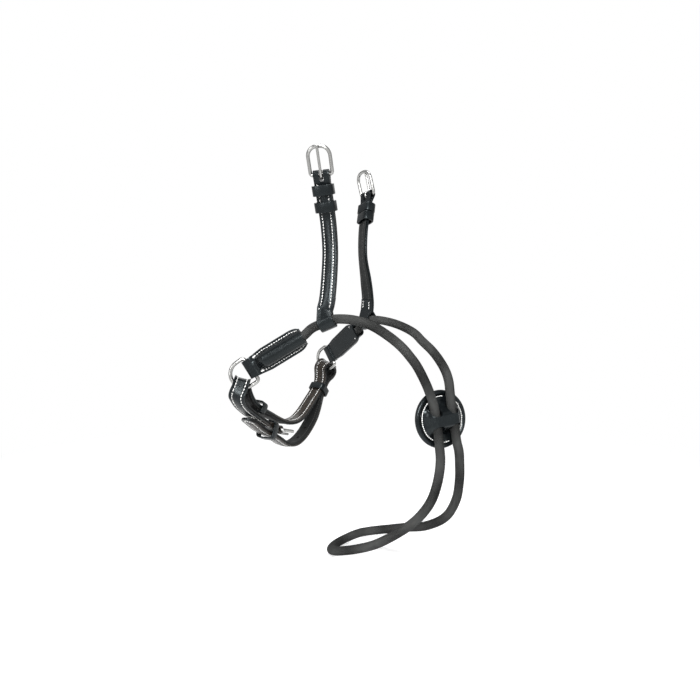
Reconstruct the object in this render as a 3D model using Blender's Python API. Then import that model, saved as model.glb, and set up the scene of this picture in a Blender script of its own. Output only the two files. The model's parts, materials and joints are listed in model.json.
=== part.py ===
"""A figure eight noseband of black leather and round rope, as it hangs when a horse's nose would fill it.

Metres, +Z up, +X towards the horse's nose, +Y to the horse's left. The origin lies on the middle
plane, level with the rope where the two cheek straps hold it. "near" pieces lie on the horse's
right side, at -Y, and "far" pieces on its left.
"""
import math

import bpy
import bmesh
from mathutils import Matrix, Quaternion, Vector

# Clearances
SEAT_GAP = 0.0003
LAYER_GAP = 0.0006
LOOP_CLEARANCE = 0.0013
BAR_CLEARANCE = 0.0004

# Round rope
ROPE_DIAMETER = 0.0095
ROPE_POINTS = 78

# Leather straps, lined and stitched
STRAP_WIDTH = 0.016
STRAP_THICKNESS = 0.0024
LINING_THICKNESS = 0.0018
STRAP_RAISE = 0.0008
FLAT_CROWN = 0.0001
RAISED_WIDTH = 0.0072
LONGEST_STEP = 0.0055
STEP_BEND = 10.0
STEP_TWIST = 2.0

# Cheek straps
CHEEK_HEIGHT = 0.1430
TURNED_END = 0.026
TURNED_TOP = 0.034
LOOP_NECK = 0.0125
BAR_NECK = 0.009

# Buckles
BUCKLE_WIRE = 0.0036
BUCKLE_SIDE_GAP = 0.0010
BUCKLE_LENGTH = 0.0262
BUCKLE_ARCH = 0.0095
BUCKLE_CORNER = 0.0026
TONGUE_WIRE = 0.0027
TONGUE_SLOT_GAP = 0.0009
TONGUE_SLOT_DEPTH = 0.0068

# Keepers, the short leather loops round the straps
KEEPER_THICKNESS = 0.0018
KEEPER_LENGTH = 0.010
KEEPER_SIDE_GAP = 0.0010
KEEPER_FACE_GAP = 0.0010
KEEPER_CORNER = 0.0016
JAW_KEEPER_LENGTH = 0.0085
STRAND_SLACK = 0.0006
STRAP_ROOM = 0.0032

# End tabs, leather folded over a ring's bar and moulded over the end of the rope
TAB_LENGTH = 0.0635
TAB_FLANGE = 0.00755
TAB_FOLD_FLANGE = 0.00505
TAB_MOUTH_FLANGE = 0.00205
TAB_WIDTH = ROPE_DIAMETER + TAB_FLANGE * 2
TAB_FOLD_WIDTH = ROPE_DIAMETER + TAB_FOLD_FLANGE * 2
TAB_MOUTH_WIDTH = ROPE_DIAMETER + TAB_MOUTH_FLANGE * 2
TAB_THICKNESS = 0.0018
TAB_ROUND_END = 0.011
ROPE_END_SETBACK = 0.0205
TAB_LOOP_LENGTH = 0.0045
TAB_LOOP_END = 0.0105
TAB_RISE_END = 0.020
RING_BAR_PLACE = 0.0010

TAB_RUN = Vector((0.760, 0.389, 0.519))

# D-rings
RING_WIRE = 0.004
RING_SIDE_GAP = 0.00195
RING_INNER_WIDTH = TAB_FOLD_WIDTH + RING_SIDE_GAP * 2
RING_LEG = 0.0085
RING_CORNER = 0.003
RING_SAG = 0.0009

# Nose disc
DISC_DIAMETER = 0.0592
DISC_RIM = 0.0052
DISC_LEATHER = 0.0016
DISC_PAD = 0.0042
DISC_DISH = 0.0008
DISC_ROPE_SPACING = 0.020
BRIDGE_WIDTH = 0.0142
BRIDGE_FALL = 0.0075
BRIDGE_DIP = 0.0022
SLOT_LENGTH = 0.0152
SLOT_GAP = 0.0008

# Jaw strap
JAW_BUCKLE_CHAPE = 0.024
BILLET_POINT = 0.009
BILLET_HOLE = 0.0034
BILLET_HOLES = 3
BILLET_HOLE_PITCH = 0.019
BILLET_FIRST_HOLE = 0.098

# Places on each side: outward direction along Y, then the pieces' own places and turns
SIDES = {
    "near": {
        "out": -1.0,
        "loop": Vector((0.0005, -0.0498, 0.0009)),
        "rope_rise": Vector((-0.0130, -0.0560, -0.0056)),
        "arch_start": Vector((0.0170, -0.0473, 0.0039)),
        "strap_turn": ((0.0, 13.0), (0.24476, 4.0), (0.52448, 0.0), (0.76923, 4.0), (1.0, 18.0)),
        "buckle_lean": (0.10, 0.13),
        "fixed_keeper": 0.90210,
        "running_keeper": 0.79371,
        "tab_inset": 0.0052,
        "tab_tip": Vector((-0.0206, -0.0606, -0.0136)),
        "tab_roll": 0.0,
        "ring_swing": -8.0,
        "ring_tilt": -3.5,
    },
    "far": {
        "out": 1.0,
        "loop": Vector((-0.0008, 0.0500, -0.0014)),
        "rope_rise": Vector((-0.0136, 0.0566, -0.0073)),
        "arch_start": Vector((0.0190, 0.0459, -0.0002)),
        "strap_turn": ((0.0, 13.0), (0.24476, 26.0), (0.52448, 42.0), (0.76923, 40.0), (1.0, 27.0)),
        "buckle_lean": (0.0, -0.50),
        "fixed_keeper": 0.88462,
        "running_keeper": 0.81119,
        "tab_inset": 0.0030,
        "tab_tip": Vector((-0.0206, 0.0606, -0.0130)),
        "tab_roll": 10.0,
        "ring_swing": 15.0,
        "ring_tilt": 0.0,
    },
}

# Middle line of a cheek strap above its loop, as distance forward, inward bow and share of its height
CHEEK_LINE = (
    (0.0000, 0.0012, 0.15385),
    (-0.0002, 0.0063, 0.32168),
    (-0.0018, 0.0112, 0.50699),
    (-0.0026, 0.0090, 0.69231),
    (-0.0028, 0.0040, 0.81818),
    (-0.0030, -0.0008, 0.93007),
)
CHEEK_TOP_BOW = -0.0042
CHEEK_TOP_FORWARD = -0.0026
CHEEK_TOP_TILT = Vector((0.0, -0.20, 1.0))

# Middle of the nose disc's bridge, between the two ropes, and how the disc is turned
DISC_CENTRE = Vector((0.1077, 0.0, -0.0966))
DISC_TURN = 40.0
DISC_LEAN = 7.2
DISC_ROLL = 6.3

# Route of the rope, hand-laid. The stretches in the tabs, loops and disc follow those pieces.
NEAR_ARCH = (
    (0.0300, -0.0455, 0.0027),
    (0.0453, -0.0415, -0.0021),
    (0.0616, -0.0350, -0.0129),
    (0.0724, -0.0295, -0.0230),
    (0.0798, -0.0250, -0.0329),
    (0.0852, -0.0205, -0.0422),
)
FAR_ARCH = (
    (0.1046, 0.0110, -0.0497),
    (0.0968, 0.0160, -0.0399),
    (0.0866, 0.0220, -0.0304),
    (0.0728, 0.0290, -0.0208),
    (0.0620, 0.0335, -0.0127),
    (0.0411, 0.0405, -0.0046),
)
CHIN_LOOP = (
    (0.1079, -0.0130, -0.1353),
    (0.1067, -0.0170, -0.1553),
    (0.1005, -0.0200, -0.1765),
    (0.0867, -0.0220, -0.1964),
    (0.0657, -0.0230, -0.2148),
    (0.0429, -0.0240, -0.2302),
    (0.0198, -0.0250, -0.2401),
    (0.0060, -0.0245, -0.2448),
    (-0.0060, -0.0205, -0.2495),
    (-0.0170, -0.0110, -0.2541),
    (-0.0210, 0.0010, -0.2560),
    (-0.0195, 0.0120, -0.2555),
    (-0.0120, 0.0215, -0.2520),
    (0.0000, 0.0258, -0.2462),
    (0.0120, 0.0262, -0.2418),
    (0.0332, 0.0250, -0.2349),
    (0.0575, 0.0240, -0.2276),
    (0.0810, 0.0230, -0.2209),
    (0.1033, 0.0220, -0.2065),
    (0.1148, 0.0200, -0.1859),
    (0.1191, 0.0170, -0.1630),
    (0.1200, 0.0130, -0.1406),
)
# The same ropes beside the disc, as across, along and out from the disc's middle
NEAR_DISC_ROUTE = (
    (-0.0160, 0.0379, 0.0016),
    (-0.0118, 0.0240, 0.0002),
    (-0.0100, 0.0120, 0.0000),
    (-0.0100, 0.0000, 0.0000),
    (-0.0100, -0.0120, 0.0000),
    (-0.0108, -0.0240, 0.0002),
)
FAR_DISC_ROUTE = (
    (0.0108, -0.0340, 0.0002),
    (0.0100, -0.0240, 0.0000),
    (0.0100, -0.0120, 0.0000),
    (0.0100, 0.0000, 0.0000),
    (0.0100, 0.0120, 0.0000),
    (0.0106, 0.0256, 0.0003),
    (0.0112, 0.0370, 0.0000),
)

# Middle line of the jaw strap from its buckle round the near ring, along the bottom, round the
# far ring and back to its loose point. The rings' own places come between the stretches.
JAW_FROM_BUCKLE = (
    (-0.0800, -0.0255, -0.1212),
    (-0.0800, -0.0370, -0.1155),
    (-0.0795, -0.0500, -0.1082),
    (-0.0788, -0.0650, -0.0990),
    (-0.0781, -0.0790, -0.0900),
    (-0.0770, -0.0900, -0.0812),
    (-0.0758, -0.0958, -0.0720),
)
JAW_ALONG_BOTTOM = (
    (-0.0800, -0.0785, -0.0735),
    (-0.0800, -0.0693, -0.0845),
    (-0.0802, -0.0560, -0.0935),
    (-0.0810, -0.0420, -0.1008),
    (-0.0820, -0.0270, -0.1085),
    (-0.0820, -0.0130, -0.1150),
    (-0.0820, 0.0020, -0.1192),
    (-0.0820, 0.0180, -0.1196),
    (-0.0820, 0.0320, -0.1150),
    (-0.0817, 0.0440, -0.1075),
    (-0.0813, 0.0535, -0.1005),
    (-0.0810, 0.0625, -0.0942),
    (-0.0808, 0.0705, -0.0880),
    (-0.0804, 0.0765, -0.0805),
    (-0.0800, 0.0788, -0.0725),
)
JAW_TO_POINT = (
    (-0.0812, 0.1040, -0.0645),
    (-0.0816, 0.1050, -0.0712),
    (-0.0818, 0.0985, -0.0765),
    (-0.0818, 0.0900, -0.0795),
    (-0.0815, 0.0820, -0.0845),
    (-0.0812, 0.0757, -0.0915),
    (-0.0812, 0.0705, -0.0982),
    (-0.0816, 0.0675, -0.1055),
    (-0.0820, 0.0638, -0.1140),
    (-0.0820, 0.0570, -0.1235),
    (-0.0820, 0.0450, -0.1335),
    (-0.0820, 0.0300, -0.1420),
    (-0.0820, 0.0130, -0.1460),
    (-0.0820, -0.0060, -0.1425),
    (-0.0808, -0.0220, -0.1333),
    (-0.0800, -0.0358, -0.1250),
    (-0.0800, -0.0464, -0.1194),
    (-0.0800, -0.0570, -0.1130),
    (-0.0800, -0.0690, -0.1040),
    (-0.0795, -0.0790, -0.0975),
)
# Where the strap lies over each ring's wire, in degrees from the ring's far middle towards its lower leg
JAW_SEATS = {"near": 39.0, "far": 38.5}
JAW_SEAT_GAP = 0.0015
# How the strap is cupped across its width where it lies in a ring's curve, and how far along it
CUP_RADIUS = 0.0125
CUP_FLAT = 0.009
CUP_FADE = 0.012
# Each fold's line beside and above its wire, in shares of the fold's radius
NEAR_FOLD = ((-1.03, 0.22), (-0.65, 0.76), (0.03, 1.0), (0.70, 0.78), (1.08, 0.22))
FAR_FOLD = ((-0.78, 0.08), (-0.57, 0.76), (0.14, 1.0), (1.08, 0.89), (2.03, 0.49))
# Which way the strap's width runs at the near ring, at the bottom and at the far ring
JAW_ACROSS = (Vector((0.80, 0.53, -0.27)), Vector((1.0, 0.0, 0.0)), Vector((0.94, -0.15, -0.29)))
JAW_TURN_START = -0.082
JAW_TURN_RISE = 0.016
JAW_BUCKLE_AIM = Vector((0.0, 0.0285, -0.0085))

# Where the jaw strap's three keepers sit on it
POINT_KEEPER_SPOT = Vector((-0.0800, -0.0375, -0.1152))
LINE_KEEPER_SPOT = Vector((-0.0795, -0.0590, -0.0915))
FAR_KEEPER_SPOT = Vector((-0.0808, 0.0705, -0.0880))
LINE_KEEPER_ROOM = 0.0026

UP = Vector((0.0, 0.0, 1.0))
FORWARD = Vector((1.0, 0.0, 0.0))

LEATHER = ("black_leather", (0.012, 0.013, 0.015), 0.38, 0.0)
LINING = ("lining_leather", (0.020, 0.018, 0.017), 0.55, 0.0)
STEEL = ("stainless_steel", (0.62, 0.62, 0.60), 0.24, 1.0)
ROPE = ("woven_rope", (0.022, 0.023, 0.024), 0.8, 0.0)


def clear_scene():
    for item in list(bpy.data.objects):
        bpy.data.objects.remove(item, do_unlink=True)


def add_material(item, finish, name):
    title, colour, roughness, metallic = finish
    material = bpy.data.materials.new(f"{name}_{title}")
    material.use_nodes = True
    shader = material.node_tree.nodes["Principled BSDF"]
    shader.inputs["Base Color"].default_value = (*colour, 1.0)
    shader.inputs["Roughness"].default_value = roughness
    shader.inputs["Metallic"].default_value = metallic
    item.data.materials.append(material)


def link(name, data, finish, pivot, place):
    """Adds a named object under a pivot empty, at a world place."""
    item = bpy.data.objects.new(name, data)
    bpy.context.collection.objects.link(item)
    item.parent = pivot
    item.matrix_local = Matrix.Translation(-pivot.location) @ place
    add_material(item, finish, name)
    return item


def add_pivot(name, point):
    pivot = bpy.data.objects.new(name, None)
    bpy.context.collection.objects.link(pivot)
    pivot.location = point
    return pivot


def mesh_from(bm, name):
    bmesh.ops.remove_doubles(bm, verts=bm.verts[:], dist=1e-6)
    bmesh.ops.recalc_face_normals(bm, faces=bm.faces[:])
    mesh = bpy.data.meshes.new(name)
    bm.to_mesh(mesh)
    bm.free()
    return mesh


def shade_round(mesh, sharp=35.0):
    mesh.shade_smooth()
    mesh.set_sharp_from_angle(angle=math.radians(sharp))


def axes(origin, x_axis, y_axis, z_axis):
    """A placement matrix from an origin and three unit axes."""
    matrix = Matrix((x_axis, y_axis, z_axis)).transposed().to_4x4()
    matrix.translation = origin
    return matrix


def smooth_curve(points, count):
    """Evenly spaced points on a smooth curve through the given points."""
    knots = [Vector(point) for point in points]
    padded = [2 * knots[0] - knots[1], *knots, 2 * knots[-1] - knots[-2]]
    dense = []
    for before, start, end, after in zip(padded, padded[1:], padded[2:], padded[3:]):
        dense.extend(catmull_rom(before, start, end, after, step / 24) for step in range(24))
    dense.append(knots[-1])
    return resample(dense, count)


def catmull_rom(before, start, end, after, share):
    """Centripetal Catmull-Rom point, which makes no loops between uneven knots."""
    t0 = 0.0
    t1 = t0 + math.sqrt((start - before).length)
    t2 = t1 + math.sqrt((end - start).length)
    t3 = t2 + math.sqrt((after - end).length)
    t = t1 + (t2 - t1) * share
    a1 = before.lerp(start, (t - t0) / (t1 - t0))
    a2 = start.lerp(end, (t - t1) / (t2 - t1))
    a3 = end.lerp(after, (t - t2) / (t3 - t2))
    b1 = a1.lerp(a2, (t - t0) / (t2 - t0))
    b2 = a2.lerp(a3, (t - t1) / (t3 - t1))
    return b1.lerp(b2, (t - t1) / (t2 - t1))


def resample(points, count):
    lengths = [0.0]
    for start, end in zip(points, points[1:]):
        lengths.append(lengths[-1] + (end - start).length)
    result = []
    index = 0
    for step in range(count):
        target = lengths[-1] * step / (count - 1)
        while index < len(points) - 2 and lengths[index + 1] < target:
            index += 1
        span = lengths[index + 1] - lengths[index]
        share = (target - lengths[index]) / span if span else 0.0
        result.append(points[index].lerp(points[index + 1], share))
    return result


def blend_table(table, place):
    """Reads a value from (place, value) rows, eased between them."""
    if place <= table[0][0]:
        return table[0][1]
    for (start, low), (end, high) in zip(table, table[1:]):
        if place <= end:
            share = (place - start) / (end - start)
            share = share * share * (3 - 2 * share)
            return low + (high - low) * share
    return table[-1][1]


class Line:
    """A strap's middle line: places along it give a point and the strap's own three directions."""

    def __init__(self, points, turn, out):
        self.points = smooth_curve(points, 480)
        self.lengths = [0.0]
        for start, end in zip(self.points, self.points[1:]):
            self.lengths.append(self.lengths[-1] + (end - start).length)
        self.length = self.lengths[-1]
        self.turn = turn
        self.out = out
        self.cups = ()
        self.stations = self.choose_stations()

    def choose_stations(self):
        """Places along the line, close together where it bends and further apart where it is straight."""
        stations = [0.0]
        _, width, _, heading = self.frame(0.0)
        for place in self.lengths[1:-1]:
            _, across, _, along = self.frame(place)
            bend = math.degrees(heading.angle(along))
            twist = math.degrees(width.angle(across))
            if bend > STEP_BEND or twist > STEP_TWIST or place - stations[-1] > LONGEST_STEP:
                stations.append(place)
                heading = along
                width = across
        return stations

    def stretch(self, start, end):
        """The stations between two places, with both places, in order from start to end."""
        low, high = sorted((start, end))
        inner = [place for place in self.stations if low + 0.0007 < place < high - 0.0007]
        places = [low, *inner, high]
        return places if start < end else places[::-1]

    def frame(self, place):
        """Point, across, outward and along directions at a place, past the ends too."""
        last = len(self.points) - 1
        spot = min(max(place, 0.0), self.length) / self.length * last
        index = min(int(spot), last - 1)
        point = self.points[index].lerp(self.points[index + 1], spot - index)
        back = self.points[max(index - 2, 0)]
        ahead = self.points[min(index + 3, last)]
        along = (ahead - back).normalized()
        if place < 0.0:
            point = point + along * place
        if place > self.length:
            point = point + along * (place - self.length)
        across = self.turn(place, point)
        across = (across - along * across.dot(along)).normalized()
        outward = self.out(across, along)
        return point, outward.cross(along), outward, along

    def matrix(self, place):
        point, across, outward, along = self.frame(place)
        return axes(point, across, outward, along)

    def bend(self, across_by, outward_by, place):
        point, across, outward, _ = self.frame(place)
        return point + across * across_by + outward * (outward_by + self.cup(place) * across_by ** 2)

    def cup(self, place):
        """How strongly the strap is cupped across its width, as it is where it lies in a ring."""
        reach = min((abs(place - spot) for spot in self.cups), default=CUP_FLAT + CUP_FADE)
        return eased_fall(reach, CUP_FLAT, CUP_FADE) / (2 * CUP_RADIUS)

    def nearest(self, target):
        """The place along the line that lies closest to a point."""
        best = min(range(len(self.points)), key=lambda index: (self.points[index] - target).length)
        return self.lengths[best]


def sweep(name, sections):
    """Extrudes a closed outline through a row of like outlines into one body."""
    bm = bmesh.new()
    face = bm.faces.new([bm.verts.new(point) for point in sections[0]])
    for section in sections[1:]:
        grown = bmesh.ops.extrude_face_region(bm, geom=[face, *face.edges, *face.verts])["geom"]
        face = next(item for item in grown if isinstance(item, bmesh.types.BMFace))
        for vertex, point in zip(face.verts, section):
            vertex.co = point
    return mesh_from(bm, name)


def leather_outline(width, thickness, raise_by):
    """Cross-section of a strap layer, as across and outward distances from its middle."""
    half = width / 2
    face = thickness / 2
    crown = RAISED_WIDTH / STRAP_WIDTH * half
    top = face + max(raise_by, FLAT_CROWN)
    back = [(-half, -face), (-crown, -face), (crown, -face), (half, -face)]
    return back + [(half, face), (crown, top), (-crown, top), (-half, face)]


def arc_points(centre, radius, start, end, count):
    """Points on an arc, as (outward, along) pairs; the angle starts at outward."""
    angles = [math.radians(start + (end - start) * step / count) for step in range(count + 1)]
    return [(centre[0] + radius * math.cos(a), centre[1] + radius * math.sin(a)) for a in angles]


def tangent_rise(radius, beside, neck):
    """Angle above level at which a strap's side leaves a loop of that radius for its neck."""
    reach = math.hypot(beside, neck)
    return math.degrees(math.atan2(neck, beside) - math.acos(radius / reach))


def wrap_end(place, radius, neck, upward):
    """Path round a bar or rope at a place; its necks lie above it if upward, else below."""
    rise = tangent_rise(radius, layer_offset(), neck)
    if upward:
        return arc_points((0.0, place), radius, 180 - rise, 360 + rise, 13 if radius > 0.005 else 8)
    return arc_points((0.0, place), radius, -rise, 180 + rise, 8)


def layer(name, line, path, width_at, raise_at):
    """Sweeps a strap layer along a path beside the strap's middle line."""
    sections = []
    for index, (outward, place) in enumerate(path):
        before = path[max(index - 1, 0)]
        after = path[min(index + 1, len(path) - 1)]
        run = Vector((after[0] - before[0], after[1] - before[1])).normalized()
        normal = Vector((run.y, -run.x))
        outline = leather_outline(width_at(place), STRAP_THICKNESS, raise_at(outward, place))
        sections.append([
            line.bend(across, outward + normal.x * depth, place + normal.y * depth)
            for across, depth in outline
        ])
    return sweep(name, sections)


def cut(item, cutter):
    """Takes a cutter's shape out of a piece."""
    modifier = item.modifiers.new("cut", "BOOLEAN")
    modifier.operation = "DIFFERENCE"
    modifier.object = cutter


def add_cutter(name, bm, pivot, place):
    cutter = bpy.data.objects.new(name, mesh_from(bm, name))
    bpy.context.collection.objects.link(cutter)
    cutter.parent = pivot
    cutter.matrix_local = Matrix.Translation(-pivot.location) @ place
    cutter.hide_render = True
    cutter.display_type = "WIRE"
    return cutter


def box_cutter(name, pivot, place, size, centre):
    bm = bmesh.new()
    bmesh.ops.create_cube(bm, size=1.0)
    bmesh.ops.scale(bm, vec=size, verts=bm.verts[:])
    bmesh.ops.translate(bm, vec=centre, verts=bm.verts[:])
    return add_cutter(name, bm, pivot, place)


def wire_loop(name, outline, wire, finish, pivot, place, cyclic=True):
    """A round wire bent to an outline given as across and along pairs."""
    curve = bpy.data.curves.new(name, "CURVE")
    curve.dimensions = "3D"
    curve.bevel_depth = wire / 2
    curve.bevel_resolution = 2
    curve.use_fill_caps = True
    spline = curve.splines.new("POLY")
    spline.points.add(len(outline) - 1)
    for point, spot in zip(spline.points, outline):
        point.co = (*spot, 1.0)
    spline.use_cyclic_u = cyclic
    spline.use_smooth = True
    return link(name, curve, finish, pivot, place)


def corner(centre, radius, start, end, count):
    """Points round a corner in the plane of a wire: across, zero, along."""
    angles = [math.radians(start + (end - start) * step / count) for step in range(count + 1)]
    return [(centre[0] + radius * math.cos(a), 0.0, centre[1] + radius * math.sin(a)) for a in angles]


def buckle_half_width():
    return STRAP_WIDTH / 2 + BUCKLE_SIDE_GAP + BUCKLE_WIRE / 2


def buckle_outline():
    """A buckle's wire: straight bar, square-set legs and an arched top."""
    half = buckle_half_width()
    leg = BUCKLE_LENGTH - BUCKLE_ARCH
    outline = corner((half - BUCKLE_CORNER, BUCKLE_CORNER), BUCKLE_CORNER, -90, 0, 4)
    arch = [math.radians(180 * step / 14) for step in range(15)]
    outline += [
        (half * math.copysign(abs(math.cos(a)) ** 0.8, math.cos(a)), 0.0, leg + BUCKLE_ARCH * math.sin(a))
        for a in arch
    ]
    outline += corner((-half + BUCKLE_CORNER, BUCKLE_CORNER), BUCKLE_CORNER, 180, 270, 4)
    return outline


def tongue_outline():
    """A tongue's wire: an open eye round the bar, then a shank that ends on the buckle's top."""
    eye = (BUCKLE_WIRE + TONGUE_WIRE) / 2 + BAR_CLEARANCE
    rest = eye + SEAT_GAP
    outline = [
        (0.0, eye * math.cos(math.radians(a)), eye * math.sin(math.radians(a)))
        for a in (-235, -205, -175, -145, -115, -85, -55, -25, 0)
    ]
    outline.append((0.0, eye, BUCKLE_LENGTH * 0.25))
    outline.append((0.0, rest, BUCKLE_LENGTH * 0.6))
    outline.append((0.0, rest, BUCKLE_LENGTH + TONGUE_WIRE * 0.4))
    return outline


def add_buckle(prefix, body, place, make_pivot):
    """A wire frame and its tongue, each on its own pivot at the bar."""
    frame_pivot = make_pivot(f"{body}_frame_pivot", place.translation)
    tongue_pivot = make_pivot(f"{body}_tongue_pivot", place.translation)
    wire_loop(f"{prefix}_frame", buckle_outline(), BUCKLE_WIRE, STEEL, frame_pivot, place)
    wire_loop(f"{prefix}_tongue", tongue_outline(), TONGUE_WIRE, STEEL, tongue_pivot, place, cyclic=False)


def tongue_slot(name, pivot, place):
    """The cutter for the slot that lets a tongue's eye through a strap's fold."""
    width = TONGUE_WIRE + 2 * TONGUE_SLOT_GAP
    reach = fold_radius() + STRAP_THICKNESS
    height = TONGUE_SLOT_DEPTH + reach
    centre = Vector((0.0, 0.0, (reach - TONGUE_SLOT_DEPTH) / 2))
    return box_cutter(name, pivot, place, Vector((width, reach * 3, height)), centre)


def rounded_rectangle(low, high, radius, steps=3):
    """Corner-rounded outline between two (across, outward) corners."""
    spots = []
    for across, outward, start in ((1, 1, 0), (0, 1, 90), (0, 0, 180), (1, 0, 270)):
        centre_across = high[0] - radius if across else low[0] + radius
        centre_outward = high[1] - radius if outward else low[1] + radius
        for step in range(steps + 1):
            angle = math.radians(start + 90 * step / steps)
            across_by = centre_across + radius * math.cos(angle)
            spots.append((across_by, centre_outward + radius * math.sin(angle)))
    return spots


def add_keeper(name, pivot, place, low, high, length):
    """A leather loop with a clear space from low to high, square to the strap."""
    outer_low = (low[0] - KEEPER_THICKNESS, low[1] - KEEPER_THICKNESS)
    outer_high = (high[0] + KEEPER_THICKNESS, high[1] + KEEPER_THICKNESS)
    bm = bmesh.new()
    edges = []
    loops = (
        rounded_rectangle(outer_low, outer_high, KEEPER_CORNER + KEEPER_THICKNESS),
        rounded_rectangle(low, high, KEEPER_CORNER),
    )
    for outline in loops:
        ring = [bm.verts.new((across, outward, -length / 2)) for across, outward in outline]
        edges += [bm.edges.new((start, end)) for start, end in zip(ring, ring[1:] + ring[:1])]
    bmesh.ops.bridge_loops(bm, edges=edges)
    grown = bmesh.ops.extrude_face_region(bm, geom=bm.faces[:])["geom"]
    raised = [item for item in grown if isinstance(item, bmesh.types.BMVert)]
    bmesh.ops.translate(bm, vec=(0.0, 0.0, length), verts=raised)
    mesh = mesh_from(bm, name)
    shade_round(mesh)
    return link(name, mesh, LEATHER, pivot, place)


def layer_offset():
    """How far a strap's leather lies from its middle line, with its lining or turned end behind."""
    return (STRAP_THICKNESS + LAYER_GAP) / 2


def fold_radius():
    """Middle radius of a strap's fold round a buckle's bar."""
    return BUCKLE_WIRE / 2 + BAR_CLEARANCE + STRAP_THICKNESS / 2


def loop_radius():
    """Middle radius of a cheek strap's loop round the rope."""
    return ROPE_DIAMETER / 2 + LOOP_CLEARANCE + STRAP_THICKNESS / 2


def loop_direction(side):
    """Which way the rope runs through a cheek strap's loop, from its tab towards the nose."""
    before = (side["loop"] - side["tab_tip"]).normalized()
    after = (side["arch_start"] - side["loop"]).normalized()
    return (before + after).normalized()


def loop_points(side):
    """The rope's middle where it runs straight through a cheek strap's loop."""
    reach = loop_direction(side) * STRAP_WIDTH * 0.42
    return [side["loop"] - reach, side["loop"], side["loop"] + reach]


def cheek_line(side):
    """Middle line of a cheek strap, from just under its loop up to its buckle's bar."""
    loop = side["loop"]
    out = side["out"]
    along_rope = loop_direction(side)
    rise = (UP - along_rope * UP.dot(along_rope)).normalized()
    points = [loop, loop + rise * (LOOP_NECK * 0.55)]
    for forward, bow, share in CHEEK_LINE:
        points.append(Vector((loop.x + forward, loop.y - out * bow, CHEEK_HEIGHT * share)))
    top = Vector((loop.x + CHEEK_TOP_FORWARD, loop.y - out * CHEEK_TOP_BOW, CHEEK_HEIGHT))
    points.append(top)
    tilt = CHEEK_TOP_TILT.normalized()
    points.append(top + Vector((tilt.x, -out * tilt.y, tilt.z)) * 0.006)

    def turn(place, point):
        share = min(max(place / 0.03, 0.0), 1.0)
        share = share * share * (3 - 2 * share)
        angle = -out * math.radians(blend_table(side["strap_turn"], place / CHEEK_HEIGHT))
        level = Vector((math.cos(angle), math.sin(angle), 0.0))
        return along_rope.lerp(level, share)

    def outward(across, along):
        normal = across.cross(along)
        return normal if normal.y * out > 0 else -normal

    return Line(points, turn, outward)


def cheek_path(line, top):
    """Path of a cheek strap's leather: turned end, loop, face, fold at the bar and turned top."""
    beside = layer_offset()
    path = [(-beside, place) for place in line.stretch(TURNED_END, LOOP_NECK)]
    path += wrap_end(0.0, loop_radius(), LOOP_NECK, True)
    path += [(beside, place) for place in line.stretch(LOOP_NECK, top - BAR_NECK)]
    path += wrap_end(top, fold_radius(), BAR_NECK, False)
    path += [(-beside, place) for place in line.stretch(top - BAR_NECK, top - TURNED_TOP)]
    return path


def add_cheek(name, side, make_pivot):
    """A cheek strap with its lining, keepers, buckle and loop round the rope."""
    line = cheek_line(side)
    top = line.nearest(Vector((side["loop"].x + CHEEK_TOP_FORWARD,
                               side["loop"].y - side["out"] * CHEEK_TOP_BOW, CHEEK_HEIGHT)))
    pivot = make_pivot(f"{name}_cheek_pivot", side["loop"])
    beside = layer_offset()

    def raised(outward, place):
        on_face = outward > 0 and LOOP_NECK * 1.15 < place < top - TURNED_TOP * 0.55
        return STRAP_RAISE if on_face else 0.0

    path = cheek_path(line, top)
    mesh = layer(f"{name}_cheek_strap", line, path, lambda place: STRAP_WIDTH, raised)
    mesh.transform(Matrix.Translation(-side["loop"]))
    strap = link(f"{name}_cheek_strap", mesh, LEATHER, pivot, Matrix.Translation(side["loop"]))
    bar = buckle_place(line, top, side)
    cut(strap, tongue_slot(f"{name}_cheek_slot", pivot, bar))

    ends = (TURNED_END + SEAT_GAP, top - TURNED_TOP - SEAT_GAP)
    lining = lining_mesh(f"{name}_cheek_lining", line, ends[0], ends[1])
    lining.transform(Matrix.Translation(-side["loop"]))
    link(f"{name}_cheek_lining", lining, LINING, pivot, Matrix.Translation(side["loop"]))

    half = STRAP_WIDTH / 2 + KEEPER_SIDE_GAP
    back = -(beside + STRAP_THICKNESS / 2)
    face = beside + STRAP_THICKNESS / 2 + STRAP_RAISE
    fixed_place = line.matrix(side["fixed_keeper"] * top)
    low = (-half, back - KEEPER_FACE_GAP)
    high = (half, face + STRAP_ROOM)
    add_keeper(f"{name}_fixed_keeper", pivot, fixed_place, low, high, KEEPER_LENGTH)
    running_place = line.matrix(side["running_keeper"] * top)
    running_pivot = make_pivot(f"{name}_running_keeper_pivot", running_place.translation)
    add_keeper(f"{name}_running_keeper", running_pivot, running_place, low, high, KEEPER_LENGTH)
    add_buckle(f"{name}_crown_buckle", f"{name}_crown", bar, make_pivot)


def lining_mesh(name, line, start, end):
    half = STRAP_WIDTH / 2
    low = -LAYER_GAP / 2 - LINING_THICKNESS
    high = -LAYER_GAP / 2
    sections = []
    corners = [(-half, low), (half, low), (half, high), (-half, high)]
    if line.cups:
        inner = RAISED_WIDTH / 2
        corners[3:3] = [(inner, high), (-inner, high)]
        corners[1:1] = [(-inner, low), (inner, low)]
    for place in line.stretch(start, end):
        sections.append([line.bend(across, outward, place) for across, outward in corners])
    return sweep(name, sections)


def buckle_place(line, top, side):
    """Where a crown buckle's bar lies, and which way its frame stands in the strap's fold."""
    point, across, outward, along = line.frame(top)
    forward_lean, out_lean = side["buckle_lean"]
    rise = along + FORWARD * forward_lean + outward * out_lean
    rise = (rise - across * rise.dot(across)).normalized()
    face = (outward - rise * outward.dot(rise)).normalized()
    return axes(point, face.cross(rise), face, rise)


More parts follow.
